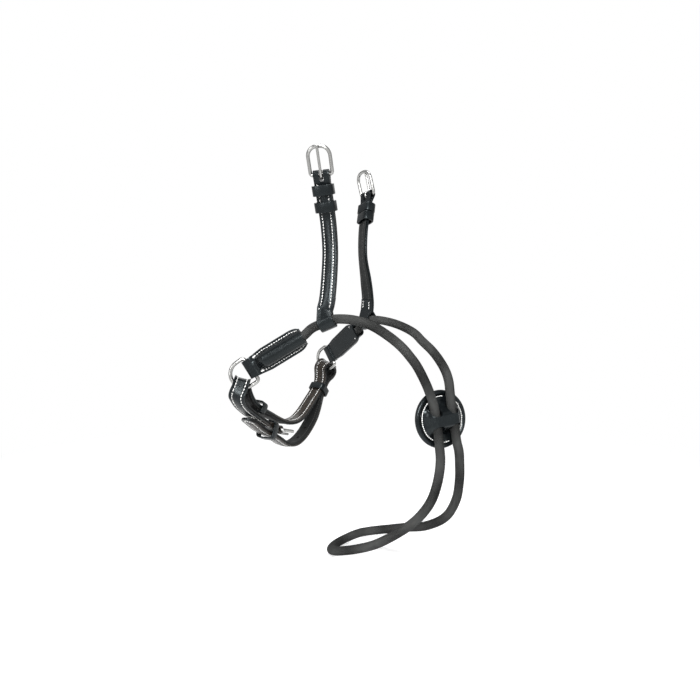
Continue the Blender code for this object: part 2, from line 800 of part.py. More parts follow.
def tab_frame(side):
    """A tab's axes at the ring's bar: up the bar, outward, and from the fold towards the rope."""
    toward_rope = Vector((TAB_RUN.x, TAB_RUN.y * -side["out"], TAB_RUN.z)).normalized()
    level = UP.cross(toward_rope).normalized()
    outward = level if level.y * side["out"] > 0 else -level
    roll = Quaternion(toward_rope, math.radians(side["tab_roll"]) * side["out"])
    outward = roll @ outward
    bar = outward.cross(toward_rope)
    origin = side["tab_tip"] - toward_rope * TAB_LENGTH - outward * side["tab_inset"]
    return axes(origin, bar, outward, toward_rope)


def tab_half_width(place):
    """Half of a tab's width at a distance from its ring's bar."""
    fold = TAB_FOLD_WIDTH / 2
    body = TAB_WIDTH / 2
    mouth = TAB_MOUTH_WIDTH / 2
    if place < TAB_RISE_END:
        share = max(place, 0.0) / TAB_RISE_END
        return fold + (body - fold) * share
    start = TAB_LENGTH - TAB_ROUND_END
    if place < start:
        return body
    share = min((place - start) / TAB_ROUND_END, 1.0)
    return mouth + (body - mouth) * math.sqrt(max(1 - share * share, 0.0))


def rope_height():
    """How far the rope's middle lies outside a tab's flat back."""
    return SEAT_GAP / 2 + SEAT_GAP + ROPE_DIAMETER / 2


def tab_section():
    """The moulded face across a tab at full height: shares of flange, then points over the rope."""
    radius = ROPE_DIAMETER / 2 + LOOP_CLEARANCE + TAB_THICKNESS / 2
    rise = rope_height()
    flange = SEAT_GAP / 2 + TAB_THICKNESS / 2
    over = [(radius * math.cos(math.radians(a)), rise + radius * math.sin(math.radians(a)))
            for a in (0, 36, 63, 90, 117, 144, 180)]
    foot = radius + TAB_THICKNESS * 0.45
    return [(foot, flange)] + over + [(-foot, flange)]


def add_tab(name, side, pivot):
    """A folded leather tab, from its mouth over the rope's end, round the ring's bar and back."""
    place = tab_frame(side)
    flange = SEAT_GAP / 2 + TAB_THICKNESS / 2
    fold = RING_WIRE / 2 + BAR_CLEARANCE + TAB_THICKNESS / 2
    crown = tab_section()
    stations = [TAB_LENGTH * share for share in (1.0, 0.98, 0.95, 0.91, 0.86, 0.7, 0.5)]
    stations += [TAB_RISE_END + (TAB_LOOP_END - TAB_RISE_END) * step / 4 for step in range(5)]
    stations += [TAB_LOOP_LENGTH + (TAB_LOOP_END - TAB_LOOP_LENGTH) * step / 3 for step in (2, 1, 0)]
    stations += [TAB_LOOP_LENGTH / 2]
    rows = []
    for along in stations:
        half = tab_half_width(along)
        level = flange + (fold - flange) * eased_fall(along, TAB_LOOP_LENGTH, TAB_LOOP_END - TAB_LOOP_LENGTH)
        lift = 1 - eased_fall(along, TAB_LOOP_END, TAB_RISE_END - TAB_LOOP_END)
        row = [(half, level, along), ((half + crown[0][0]) / 2, level, along)]
        row += [(across * half / (TAB_WIDTH / 2) if along < TAB_LENGTH / 2 else across,
                 level + (rise - flange) * lift, along) for across, rise in crown]
        row += [(-(half + crown[0][0]) / 2, level, along), (-half, level, along)]
        rows.append(row)
    shares = [spot[0] / rows[6][0][0] for spot in rows[6]]
    for step in range(9):
        angle = math.radians(90 + 22.5 * step)
        half = tab_half_width(0.0)
        rows.append([(share * half, fold * math.sin(angle), fold * math.cos(angle)) for share in shares])
    for along in reversed(stations):
        half = tab_half_width(along)
        level = flange + (fold - flange) * eased_fall(along, TAB_LOOP_LENGTH, TAB_LOOP_END - TAB_LOOP_LENGTH)
        rows.append([(share * half, -level, along) for share in shares])
    bm = bmesh.new()
    grid = [[bm.verts.new(spot) for spot in row] for row in rows]
    edges = [bm.edges.new((start, end)) for start, end in zip(grid[0], grid[0][1:])]
    for above, below in zip(grid, grid[1:]):
        next_edges = [bm.edges.new((start, end)) for start, end in zip(below, below[1:])]
        bmesh.ops.bridge_loops(bm, edges=edges + next_edges)
        edges = next_edges
    mesh = mesh_from(bm, name)
    shade_round(mesh, 50.0)
    tab = link(name, mesh, LEATHER, pivot, place)
    wall = tab.modifiers.new("leather", "SOLIDIFY")
    wall.thickness = TAB_THICKNESS
    wall.offset = 0.0
    wall.use_even_offset = True
    return tab


def ring_radius():
    return (RING_INNER_WIDTH + RING_WIRE) / 2


def ring_frame(side):
    """A ring's axes at its bar: along the bar, the ring's face, and from its bar to its far middle."""
    tab = tab_frame(side)
    outward = tab.col[1].to_3d()
    away = -tab.col[2].to_3d()
    swing = math.radians(side["ring_swing"])
    reach = (away * math.cos(swing) - outward * math.sin(swing)).normalized()
    face = (outward * math.cos(swing) + away * math.sin(swing)).normalized()
    down = reach.cross(face) if reach.cross(face).z < 0 else face.cross(reach)
    tilt = math.radians(side["ring_tilt"])
    reach = (reach * math.cos(tilt) - down * math.sin(tilt)).normalized()
    origin = tab @ Vector((0.0, 0.0, RING_BAR_PLACE)) + down * RING_SAG
    return axes(origin, face.cross(reach), face, reach)


def ring_outline():
    """A D-ring's wire: the straight bar, two short legs and a half circle."""
    radius = ring_radius()
    outline = corner((radius - RING_CORNER, RING_CORNER), RING_CORNER, -90, 0, 3)
    outline += corner((0.0, RING_LEG), radius, 0, 180, 16)
    outline += corner((-radius + RING_CORNER, RING_CORNER), RING_CORNER, 180, 270, 3)
    return outline


def add_ring(name, side, make_pivot):
    place = ring_frame(side)
    pivot = make_pivot(f"{name}_pivot", place.translation)
    wire_loop(name, ring_outline(), RING_WIRE, STEEL, pivot, place)


def ring_centre(side):
    """The centre of a ring's round side, about which the jaw strap slides."""
    return ring_frame(side) @ Vector((0.0, 0.0, RING_LEG))


def ring_seat(side, angle):
    """The middle of a ring's wire where the jaw strap lies over it."""
    frame = ring_frame(side)
    turn = math.radians(angle) * (1 if frame.col[0].z < 0 else -1)
    radius = ring_radius()
    spot = Vector((radius * math.sin(turn), 0.0, RING_LEG + radius * math.cos(turn)))
    return frame @ spot


def jaw_fold_radius():
    """Distance from a ring's wire to the middle line of the strap folded over it."""
    return RING_WIRE / 2 + JAW_SEAT_GAP + LAYER_GAP / 2 + LINING_THICKNESS


def fold_over(seat, across, shape):
    """Points of the strap's middle line where it folds over a ring's wire."""
    beside = UP.cross(across).normalized()
    above = across.cross(beside).normalized()
    return [seat + (beside * step + above * rise) * jaw_fold_radius() for step, rise in shape]


def jaw_line():
    """Middle line of the jaw strap, from its buckle's bar to its loose point."""
    near_seat = ring_seat(SIDES["near"], JAW_SEATS["near"])
    far_seat = ring_seat(SIDES["far"], JAW_SEATS["far"])
    points = [Vector(point) for point in JAW_FROM_BUCKLE]
    points += fold_over(near_seat, JAW_ACROSS[0], NEAR_FOLD)
    points += [Vector(point) for point in JAW_ALONG_BOTTOM]
    points += fold_over(far_seat, JAW_ACROSS[2], FAR_FOLD)
    points += [Vector(point) for point in JAW_TO_POINT]

    def turn(place, point):
        held = JAW_ACROSS[0] if point.y < 0.0 else JAW_ACROSS[2]
        return JAW_ACROSS[1].lerp(held, 1 - eased_fall(point.z, JAW_TURN_START, JAW_TURN_RISE))

    def outward(across, along):
        return along.cross(across) * -1.0

    line = Line(points, turn, outward)
    line.cups = [line.nearest(seat) for seat in (near_seat, far_seat)]
    return line


def add_jaw_strap(make_pivot):
    """The jaw strap through both rings, with its lining, buckle, keepers and punched point."""
    line = jaw_line()
    middle = (ring_centre(SIDES["near"]) + ring_centre(SIDES["far"])) / 2
    pivot = make_pivot("jaw_strap_pivot", middle)
    beside = layer_offset()
    end = line.length

    path = [(-beside, place) for place in line.stretch(JAW_BUCKLE_CHAPE, BAR_NECK)]
    path += wrap_end(0.0, fold_radius(), BAR_NECK, True)
    path += [(beside, place) for place in line.stretch(BAR_NECK, end - BILLET_POINT)[:-1]]
    path += [(beside, end - BILLET_POINT * share) for share in (1.0, 0.7, 0.42, 0.2, 0.06, 0.0)]

    def width_at(place):
        left = end - place
        if left > BILLET_POINT:
            return STRAP_WIDTH
        share = 1 - max(left, 0.0) / BILLET_POINT
        return STRAP_WIDTH * max(math.sqrt(max(1 - share * share, 0.0)), 0.25)

    def raised(outward, place):
        return STRAP_RAISE if outward > 0 and BAR_NECK * 2.5 < place < end - BILLET_POINT else 0.0

    place = Matrix.Translation(middle)
    mesh = layer("jaw_strap_leather", line, path, width_at, raised)
    mesh.transform(Matrix.Translation(-middle))
    strap = link("jaw_strap_leather", mesh, LEATHER, pivot, place)

    lining = lining_mesh("jaw_strap_lining", line, JAW_BUCKLE_CHAPE + SEAT_GAP, end - BILLET_POINT)
    lining.transform(Matrix.Translation(-middle))
    back = link("jaw_strap_lining", lining, LINING, pivot, place)

    aim = JAW_BUCKLE_AIM.normalized()
    point, across, outward, along = line.frame(0.0)
    face = aim.cross(across).normalized()
    if face.dot(outward) < 0:
        face = -face
    bar = axes(point, face.cross(aim), face, aim)
    cut(strap, tongue_slot("jaw_slot", pivot, bar))
    for index in range(BILLET_HOLES):
        spot = line.matrix(end - BILLET_FIRST_HOLE - BILLET_HOLE_PITCH * index)
        bm = bmesh.new()
        bmesh.ops.create_cone(bm, cap_ends=True, segments=10, radius1=BILLET_HOLE / 2,
                              radius2=BILLET_HOLE / 2, depth=STRAP_THICKNESS * 5)
        upright = Matrix.Rotation(math.radians(90), 3, "X")
        bmesh.ops.rotate(bm, cent=(0, 0, 0), matrix=upright, verts=bm.verts[:])
        cutter = add_cutter(f"billet_hole_{index}", bm, pivot, spot)
        cut(strap, cutter)
        cut(back, cutter)

    add_buckle("jaw_buckle", "jaw_buckle", bar, make_pivot)
    add_jaw_keepers(line, pivot, make_pivot)
    return line


def strand_room(line, place, target):
    """Room that a keeper needs beside its own strand to hold the strand that passes nearby."""
    frame = line.matrix(place)
    local = frame.inverted() @ target
    return local.y


def closest_strand(line, place, skip):
    """Where another stretch of the strap passes closest to a place on it."""
    here = line.frame(place)[0]
    candidates = [
        (point - here).length
        if abs(length - place) > skip else math.inf
        for point, length in zip(line.points, line.lengths)
    ]
    return line.points[candidates.index(min(candidates))]


def add_jaw_keepers(line, pivot, make_pivot):
    half = STRAP_WIDTH / 2 + KEEPER_SIDE_GAP
    lined_back = -(LAYER_GAP / 2 + LINING_THICKNESS)
    turned_back = -(layer_offset() + STRAP_THICKNESS / 2)
    face = layer_offset() + STRAP_THICKNESS / 2 + STRAP_RAISE

    place = line.nearest(POINT_KEEPER_SPOT)
    billet = strand_room(line, place, closest_strand(line, place, 0.1))
    add_keeper("point_keeper", pivot, line.matrix(place),
               (-half, turned_back - KEEPER_FACE_GAP), (half, billet + face + KEEPER_FACE_GAP + STRAND_SLACK),
               JAW_KEEPER_LENGTH)

    spot = line.matrix(line.nearest(LINE_KEEPER_SPOT))
    line_pivot = make_pivot("line_keeper_pivot", spot.translation)
    add_keeper("line_keeper", line_pivot, spot,
               (-half, lined_back - KEEPER_FACE_GAP), (half, face + LINE_KEEPER_ROOM), JAW_KEEPER_LENGTH)

    place = line.nearest(FAR_KEEPER_SPOT)
    far_pivot = make_pivot("far_keeper_pivot", line.matrix(place).translation)
    outer = strand_room(line, place, closest_strand(line, place, 0.05))
    add_keeper("far_keeper", far_pivot, line.matrix(place),
               (-half, outer - face - KEEPER_FACE_GAP - STRAND_SLACK), (half, face + KEEPER_FACE_GAP),
               JAW_KEEPER_LENGTH)


def disc_frame():
    """The disc's axes: across both ropes, up along them, and out from the horse's nose."""
    turn = math.radians(DISC_TURN)
    lean = math.radians(DISC_LEAN)
    out = Vector((math.cos(lean) * math.cos(turn), -math.cos(lean) * math.sin(turn), math.sin(lean)))
    across = Vector((math.sin(turn), math.cos(turn), 0.0))
    roll = Quaternion(out, math.radians(DISC_ROLL))
    across = roll @ across
    along = out.cross(across)
    return axes(DISC_CENTRE, across, along, out)


def eased_fall(distance, flat, fall):
    """One on the flat, easing to zero over the fall."""
    share = min(max((distance - flat) / fall, 0.0), 1.0)
    return 1 - share * share * (3 - 2 * share)


def disc_face_level():
    """Middle of the disc's leather where it lies flat, below the ropes."""
    return -(ROPE_DIAMETER / 2 + SEAT_GAP + DISC_DISH + DISC_LEATHER / 2)


def bridge_level():
    return ROPE_DIAMETER / 2 + LOOP_CLEARANCE + DISC_LEATHER / 2


def disc_leather_height(across, along):
    """Height of the disc's leather: flat near the rim, raised in one bridge over both ropes."""
    reach = DISC_ROPE_SPACING / 2 + ROPE_DIAMETER / 2 + SLOT_GAP
    wide = eased_fall(abs(across), reach, DISC_DIAMETER / 2 - DISC_RIM - reach)
    long = eased_fall(abs(along), BRIDGE_WIDTH / 2, BRIDGE_FALL)
    base = disc_face_level()
    dip = BRIDGE_DIP * eased_fall(abs(across), 0.0, DISC_ROPE_SPACING / 2 - ROPE_DIAMETER / 4)
    return base + (bridge_level() - base) * wide * long - dip * long


def grid_lines(stops):
    """Grid places from (place, gap) stops, mirrored about the middle."""
    half = [0.0]
    for place, count in stops:
        start = half[-1]
        half += [start + (place - start) * (step + 1) / count for step in range(count)]
    return [-place for place in reversed(half[1:])] + half


def add_disc(make_pivot):
    """The nose disc: slotted and bridged leather, a rolled rim and a padded back."""
    place = disc_frame()
    pivot = make_pivot("nose_disc_pivot", place.translation)
    leather_radius = DISC_DIAMETER / 2 - DISC_RIM - SEAT_GAP
    rope_side = DISC_ROPE_SPACING / 2
    slot_half = ROPE_DIAMETER / 2 + SLOT_GAP
    lines_across = grid_lines((
        (rope_side - slot_half - 0.0006, 2), (rope_side + slot_half + 0.0006, 4), (leather_radius * 1.1, 4)))
    lines_along = grid_lines((
        (BRIDGE_WIDTH / 2, 3), (BRIDGE_WIDTH / 2 + BRIDGE_FALL, 5), (leather_radius * 1.1, 3)))
    bm = bmesh.new()
    rows = [
        [bm.verts.new((across, along, disc_leather_height(across, along))) for across in lines_across]
        for along in lines_along
    ]
    edges = [bm.edges.new(pair) for pair in zip(rows[0], rows[0][1:])]
    for row in rows[1:]:
        next_edges = [bm.edges.new(pair) for pair in zip(row, row[1:])]
        bmesh.ops.bridge_loops(bm, edges=edges + next_edges)
        edges = next_edges
    mesh = mesh_from(bm, "nose_disc_leather")
    shade_round(mesh, 60.0)
    leather = link("nose_disc_leather", mesh, LEATHER, pivot, place)
    wall = leather.modifiers.new("leather", "SOLIDIFY")
    wall.thickness = DISC_LEATHER
    wall.offset = 0.0
    trim_round(leather, pivot, place, leather_radius)
    for across in (-rope_side, rope_side):
        for along in (-1, 1):
            cut(leather, slot_cutter(pivot, place, across, along, slot_half))

    rim = [
        (DISC_DIAMETER / 2 - DISC_RIM / 2, math.radians(360 * step / 32))
        for step in range(32)
    ]
    outline = [(radius * math.cos(a), radius * math.sin(a), rim_level()) for radius, a in rim]
    wire_loop("nose_disc_rim", outline, DISC_RIM, LEATHER, pivot, place)
    add_disc_pad(pivot, place, leather_radius)


def rim_level():
    return -(ROPE_DIAMETER / 2 + SEAT_GAP + DISC_RIM / 2)


def trim_round(leather, pivot, place, radius):
    """Keeps the part of the disc's leather that lies inside its rim."""
    bm = bmesh.new()
    bmesh.ops.create_cone(bm, cap_ends=True, segments=44, radius1=radius, radius2=radius, depth=0.08)
    bmesh.ops.rotate(bm, cent=(0, 0, 0), matrix=Matrix.Rotation(math.radians(3), 3, "Z"), verts=bm.verts[:])
    trimmer = add_cutter("nose_disc_trimmer", bm, pivot, place)
    trim = leather.modifiers.new("trim", "BOOLEAN")
    trim.operation = "INTERSECT"
    trim.object = trimmer


def slot_cutter(pivot, place, across, along, half):
    """A round-ended slot through the disc's leather beside its bridge."""
    start = BRIDGE_WIDTH / 2 - half * 0.35
    end = BRIDGE_WIDTH / 2 + BRIDGE_FALL + 0.0005
    outline = rounded_rectangle((across - half, start), (across + half, end), half * 0.6, 4)
    bm = bmesh.new()
    bottom = disc_face_level() - DISC_LEATHER
    face = bm.faces.new([bm.verts.new((x, y * along, bottom)) for x, y in outline])
    grown = bmesh.ops.extrude_face_region(bm, geom=[face])["geom"]
    raised = [item for item in grown if isinstance(item, bmesh.types.BMVert)]
    height = bridge_level() - bottom + DISC_LEATHER * 2
    bmesh.ops.translate(bm, vec=(0.0, 0.0, height), verts=raised)
    return add_cutter(f"disc_slot_{across:+.3f}_{along:+d}", bm, pivot, place)


def add_disc_pad(pivot, place, radius):
    """The padded back, turned from a profile that swells towards its middle."""
    top = disc_face_level() - DISC_LEATHER / 2 - SEAT_GAP
    profile = [(0.0, top), (radius, top)]
    for step in range(1, 6):
        angle = math.radians(90 * step / 5)
        profile.append((radius * math.cos(angle), top - DISC_PAD * 0.35 - DISC_PAD * 0.65 * math.sin(angle)))
    profile.insert(2, (radius, top - DISC_PAD * 0.35))
    bm = bmesh.new()
    ring = [bm.verts.new((across, 0.0, out)) for across, out in profile]
    edges = [bm.edges.new(pair) for pair in zip(ring, ring[1:])]
    bmesh.ops.spin(bm, geom=ring + edges, cent=(0, 0, 0), axis=(0, 0, 1), angle=math.tau,
                   steps=32, use_merge=True)
    mesh = mesh_from(bm, "nose_disc_pad")
    shade_round(mesh)
    link("nose_disc_pad", mesh, LINING, pivot, place)


def tab_rope_points(side, count):
    """The rope's middle inside a tab, from its hidden end to the tab's mouth."""
    frame = tab_frame(side)
    rise = rope_height()
    start = ROPE_END_SETBACK
    return [
        frame @ Vector((0.0, rise, start + (TAB_LENGTH - start) * step / (count - 1)))
        for step in range(count)
    ]


def rope_route():
    disc = disc_frame()
    points = tab_rope_points(SIDES["near"], 4)
    points += [SIDES["near"]["rope_rise"], *loop_points(SIDES["near"]), SIDES["near"]["arch_start"]]
    points += [Vector(point) for point in NEAR_ARCH]
    points += [disc @ Vector(point) for point in NEAR_DISC_ROUTE]
    points += [Vector(point) for point in CHIN_LOOP]
    points += [disc @ Vector(point) for point in FAR_DISC_ROUTE]
    points += [Vector(point) for point in FAR_ARCH]
    points += [SIDES["far"]["arch_start"], *reversed(loop_points(SIDES["far"])), SIDES["far"]["rope_rise"]]
    points += list(reversed(tab_rope_points(SIDES["far"], 4)))
    return points


def add_rope(pivot):
    """One rope from the near tab over the nose, through the disc, round the chin and back."""
    route = smooth_curve(rope_route(), ROPE_POINTS)
    wire_loop("rope", route, ROPE_DIAMETER, ROPE, pivot, Matrix.Identity(4), cyclic=False)


def main():
    clear_scene()
    root = add_pivot("noseband_pivot", Vector((0.0, 0.0, 0.0)))
    add_rope(root)
    for name, side in SIDES.items():
        add_tab(f"{name}_end_tab", side, root)
        add_ring(f"{name}_ring", side, add_pivot)
        add_cheek(name, side, add_pivot)
    add_disc(add_pivot)
    add_jaw_strap(add_pivot)


main()
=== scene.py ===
"""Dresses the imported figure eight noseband: woven rope, stitched black leather and stainless hardware.

Metres, +Z up, +X towards the horse's nose, +Y to the horse's left. Near pieces lie at -Y, far pieces at +Y.
"""
import itertools
import json
import math

import bmesh
import bpy
from bpy.props import FloatProperty, FloatVectorProperty, IntProperty, PointerProperty
from mathutils import Matrix, Quaternion, Vector

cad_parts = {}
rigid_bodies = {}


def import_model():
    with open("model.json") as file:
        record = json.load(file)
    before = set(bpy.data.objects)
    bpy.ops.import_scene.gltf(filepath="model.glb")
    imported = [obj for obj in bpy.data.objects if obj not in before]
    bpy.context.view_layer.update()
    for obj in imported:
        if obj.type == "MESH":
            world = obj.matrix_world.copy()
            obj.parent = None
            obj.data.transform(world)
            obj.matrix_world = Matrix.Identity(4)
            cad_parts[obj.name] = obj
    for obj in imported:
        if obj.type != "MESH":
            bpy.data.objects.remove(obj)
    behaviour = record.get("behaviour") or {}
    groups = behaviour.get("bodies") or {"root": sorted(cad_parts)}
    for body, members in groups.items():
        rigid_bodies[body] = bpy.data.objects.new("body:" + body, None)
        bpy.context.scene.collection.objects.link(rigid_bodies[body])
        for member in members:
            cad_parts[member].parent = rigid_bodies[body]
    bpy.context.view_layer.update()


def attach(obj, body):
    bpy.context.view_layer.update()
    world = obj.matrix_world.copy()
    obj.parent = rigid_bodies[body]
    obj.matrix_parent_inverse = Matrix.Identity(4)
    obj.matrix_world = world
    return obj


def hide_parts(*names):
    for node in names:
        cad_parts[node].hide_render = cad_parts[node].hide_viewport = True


bl_info = {
    "name": "Figure Eight Noseband",
    "version": (1, 0, 0),
    "blender": (4, 5, 0),
    "location": "3D View > Sidebar > Noseband",
    "description": "Builds a dressed figure eight noseband around its packed frame",
    "category": "Object",
}

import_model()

# Clearances
SEAT_GAP = 0.0003
LAYER_GAP = 0.0006
LOOP_CLEARANCE = 0.0013
BAR_CLEARANCE = 0.0004

# Round rope
ROPE_DIAMETER = 0.0095
ROPE_POINTS = 440

# Leather straps, lined and stitched
STRAP_WIDTH = 0.016
STRAP_THICKNESS = 0.0024
LINING_THICKNESS = 0.0018
STRAP_RAISE = 0.0008
LONGEST_STEP = 0.0025
STEP_BEND = 4.0
STEP_TWIST = 1.0

# Cheek straps
CHEEK_HEIGHT = 0.1430
TURNED_END = 0.026
TURNED_TOP = 0.034
LOOP_NECK = 0.0125
BAR_NECK = 0.009

# Buckles
BUCKLE_WIRE = 0.0036
BUCKLE_SIDE_GAP = 0.0010
BUCKLE_LENGTH = 0.0262
BUCKLE_ARCH = 0.0095
BUCKLE_CORNER = 0.0026
TONGUE_WIRE = 0.0027
TONGUE_SLOT_GAP = 0.0009

# Keepers, the short leather loops round the straps
KEEPER_THICKNESS = 0.0018
KEEPER_LENGTH = 0.010
KEEPER_SIDE_GAP = 0.0010
KEEPER_FACE_GAP = 0.0010
JAW_KEEPER_LENGTH = 0.0085
STRAND_SLACK = 0.0006
STRAP_ROOM = 0.0032

# End tabs, leather folded over a ring's bar and moulded over the end of the rope
TAB_LENGTH = 0.0635
TAB_FLANGE = 0.00755
TAB_FOLD_FLANGE = 0.00505
TAB_MOUTH_FLANGE = 0.00205
TAB_WIDTH = ROPE_DIAMETER + TAB_FLANGE * 2
TAB_FOLD_WIDTH = ROPE_DIAMETER + TAB_FOLD_FLANGE * 2
TAB_MOUTH_WIDTH = ROPE_DIAMETER + TAB_MOUTH_FLANGE * 2
TAB_THICKNESS = 0.0018
TAB_ROUND_END = 0.011
ROPE_END_SETBACK = 0.0205
TAB_LOOP_LENGTH = 0.0045
TAB_LOOP_END = 0.0105
TAB_RISE_END = 0.020
RING_BAR_PLACE = 0.0010
TAB_RUN = Vector((0.760, 0.389, 0.519))

# D-rings
RING_WIRE = 0.004
RING_SIDE_GAP = 0.00195
RING_INNER_WIDTH = TAB_FOLD_WIDTH + RING_SIDE_GAP * 2
RING_LEG = 0.0085
RING_CORNER = 0.003
RING_SAG = 0.0009

# Nose disc
DISC_DIAMETER = 0.0592
DISC_RIM = 0.0052
DISC_LEATHER = 0.0016
DISC_PAD = 0.0042
DISC_DISH = 0.0008
DISC_ROPE_SPACING = 0.020
BRIDGE_WIDTH = 0.0142
BRIDGE_FALL = 0.0075
SLOT_GAP = 0.0008

# Jaw strap
JAW_BUCKLE_CHAPE = 0.024
BILLET_POINT = 0.009
BILLET_HOLE = 0.0034
BILLET_HOLES = 3
BILLET_HOLE_PITCH = 0.019
BILLET_FIRST_HOLE = 0.098

# Places on each side: outward direction along Y, then the pieces' own places and turns
SIDES = {
    "near": {
        "out": -1.0,
        "loop": Vector((0.0005, -0.0498, 0.0009)),
        "rope_rise": Vector((-0.0130, -0.0560, -0.0056)),
        "arch_start": Vector((0.0170, -0.0473, 0.0039)),
        "strap_turn": ((0.0, 13.0), (0.24476, 4.0), (0.52448, 0.0), (0.76923, 4.0), (1.0, 18.0)),
        "buckle_lean": (0.10, 0.13),
        "fixed_keeper": 0.90210,
        "running_keeper": 0.79371,
        "tab_inset": 0.0052,
        "tab_tip": Vector((-0.0206, -0.0606, -0.0136)),
        "tab_roll": 0.0,
        "ring_swing": -8.0,
        "ring_tilt": -3.5,
    },
    "far": {
        "out": 1.0,
        "loop": Vector((-0.0008, 0.0500, -0.0014)),
        "rope_rise": Vector((-0.0136, 0.0566, -0.0073)),
        "arch_start": Vector((0.0190, 0.0459, -0.0002)),
        "strap_turn": ((0.0, 13.0), (0.24476, 26.0), (0.52448, 42.0), (0.76923, 40.0), (1.0, 27.0)),
        "buckle_lean": (0.0, -0.50),
        "fixed_keeper": 0.88462,
        "running_keeper": 0.81119,
        "tab_inset": 0.0030,
        "tab_tip": Vector((-0.0206, 0.0606, -0.0130)),
        "tab_roll": 10.0,
        "ring_swing": 15.0,
        "ring_tilt": 0.0,
    },
}

# Middle line of a cheek strap above its loop, as distance forward, inward bow and share of its height
CHEEK_LINE = (
    (0.0000, 0.0012, 0.15385),
    (-0.0002, 0.0063, 0.32168),
    (-0.0018, 0.0112, 0.50699),
    (-0.0026, 0.0090, 0.69231),
    (-0.0028, 0.0040, 0.81818),
    (-0.0030, -0.0008, 0.93007),
)
CHEEK_TOP_BOW = -0.0042
CHEEK_TOP_FORWARD = -0.0026
CHEEK_TOP_TILT = Vector((0.0, -0.20, 1.0))

# Middle of the nose disc's bridge, between the two ropes, and how the disc is turned
DISC_CENTRE = Vector((0.1077, 0.0, -0.0966))
DISC_TURN = 40.0
DISC_LEAN = 7.2
DISC_ROLL = 6.3

# Route of the rope. The stretches in the tabs, loops and disc follow those pieces.
NEAR_ARCH = (
    (0.0300, -0.0455, 0.0027),
    (0.0453, -0.0415, -0.0021),
    (0.0616, -0.0350, -0.0129),
    (0.0724, -0.0295, -0.0230),
    (0.0798, -0.0250, -0.0329),
    (0.0852, -0.0205, -0.0422),
)
FAR_ARCH = (
    (0.1046, 0.0110, -0.0497),
    (0.0968, 0.0160, -0.0399),
    (0.0866, 0.0220, -0.0304),
    (0.0728, 0.0290, -0.0208),
    (0.0620, 0.0335, -0.0127),
    (0.0411, 0.0405, -0.0046),
)
CHIN_LOOP = (
    (0.1079, -0.0130, -0.1353),
    (0.1067, -0.0170, -0.1553),
    (0.1005, -0.0200, -0.1765),
    (0.0867, -0.0220, -0.1964),
    (0.0657, -0.0230, -0.2148),
    (0.0429, -0.0240, -0.2302),
    (0.0198, -0.0250, -0.2401),
    (0.0060, -0.0245, -0.2448),
    (-0.0060, -0.0205, -0.2495),
    (-0.0170, -0.0110, -0.2541),
    (-0.0210, 0.0010, -0.2560),
    (-0.0195, 0.0120, -0.2555),
    (-0.0120, 0.0215, -0.2520),
    (0.0000, 0.0258, -0.2462),
    (0.0120, 0.0262, -0.2418),
    (0.0332, 0.0250, -0.2349),
    (0.0575, 0.0240, -0.2276),
    (0.0810, 0.0230, -0.2209),
    (0.1033, 0.0220, -0.2065),
    (0.1148, 0.0200, -0.1859),
    (0.1191, 0.0170, -0.1630),
    (0.1200, 0.0130, -0.1406),
)
# The same ropes beside the disc, as across, along and out from the disc's middle
NEAR_DISC_ROUTE = (
    (-0.0160, 0.0379, 0.0016),
    (-0.0118, 0.0240, 0.0002),
    (-0.0100, 0.0120, 0.0000),
    (-0.0100, 0.0000, 0.0000),
    (-0.0100, -0.0120, 0.0000),
    (-0.0108, -0.0240, 0.0002),
)
FAR_DISC_ROUTE = (
    (0.0108, -0.0340, 0.0002),
    (0.0100, -0.0240, 0.0000),
    (0.0100, -0.0120, 0.0000),
    (0.0100, 0.0000, 0.0000),
    (0.0100, 0.0120, 0.0000),
    (0.0106, 0.0256, 0.0003),
    (0.0112, 0.0370, 0.0000),
)

# Middle line of the jaw strap from its buckle round the near ring, along the bottom, round the
# far ring and back to its loose point. The rings' own places come between the stretches.
JAW_FROM_BUCKLE = (
    (-0.0800, -0.0255, -0.1212),
    (-0.0800, -0.0370, -0.1155),
    (-0.0795, -0.0500, -0.1082),
    (-0.0788, -0.0650, -0.0990),
    (-0.0781, -0.0790, -0.0900),
    (-0.0770, -0.0900, -0.0812),
    (-0.0758, -0.0958, -0.0720),
)
JAW_ALONG_BOTTOM = (
    (-0.0800, -0.0785, -0.0735),
    (-0.0800, -0.0693, -0.0845),
    (-0.0802, -0.0560, -0.0935),
    (-0.0810, -0.0420, -0.1008),
    (-0.0820, -0.0270, -0.1085),
    (-0.0820, -0.0130, -0.1150),
    (-0.0820, 0.0020, -0.1192),
    (-0.0820, 0.0180, -0.1196),
    (-0.0820, 0.0320, -0.1150),
    (-0.0817, 0.0440, -0.1075),
    (-0.0813, 0.0535, -0.1005),
    (-0.0810, 0.0625, -0.0942),
    (-0.0808, 0.0705, -0.0880),
    (-0.0804, 0.0765, -0.0805),
    (-0.0800, 0.0788, -0.0725),
)
JAW_TO_POINT = (
    (-0.0812, 0.1040, -0.0645),
    (-0.0816, 0.1050, -0.0712),
    (-0.0818, 0.0985, -0.0765),
    (-0.0818, 0.0900, -0.0795),
    (-0.0815, 0.0820, -0.0845),
    (-0.0812, 0.0757, -0.0915),
    (-0.0812, 0.0705, -0.0982),
    (-0.0816, 0.0675, -0.1055),
    (-0.0820, 0.0638, -0.1140),
    (-0.0820, 0.0570, -0.1235),
    (-0.0820, 0.0450, -0.1335),
    (-0.0820, 0.0300, -0.1420),
    (-0.0820, 0.0130, -0.1460),
    (-0.0820, -0.0060, -0.1425),
    (-0.0808, -0.0220, -0.1333),
    (-0.0800, -0.0358, -0.1250),
    (-0.0800, -0.0464, -0.1194),
    (-0.0800, -0.0570, -0.1130),
    (-0.0800, -0.0690, -0.1040),
    (-0.0795, -0.0790, -0.0975),
)
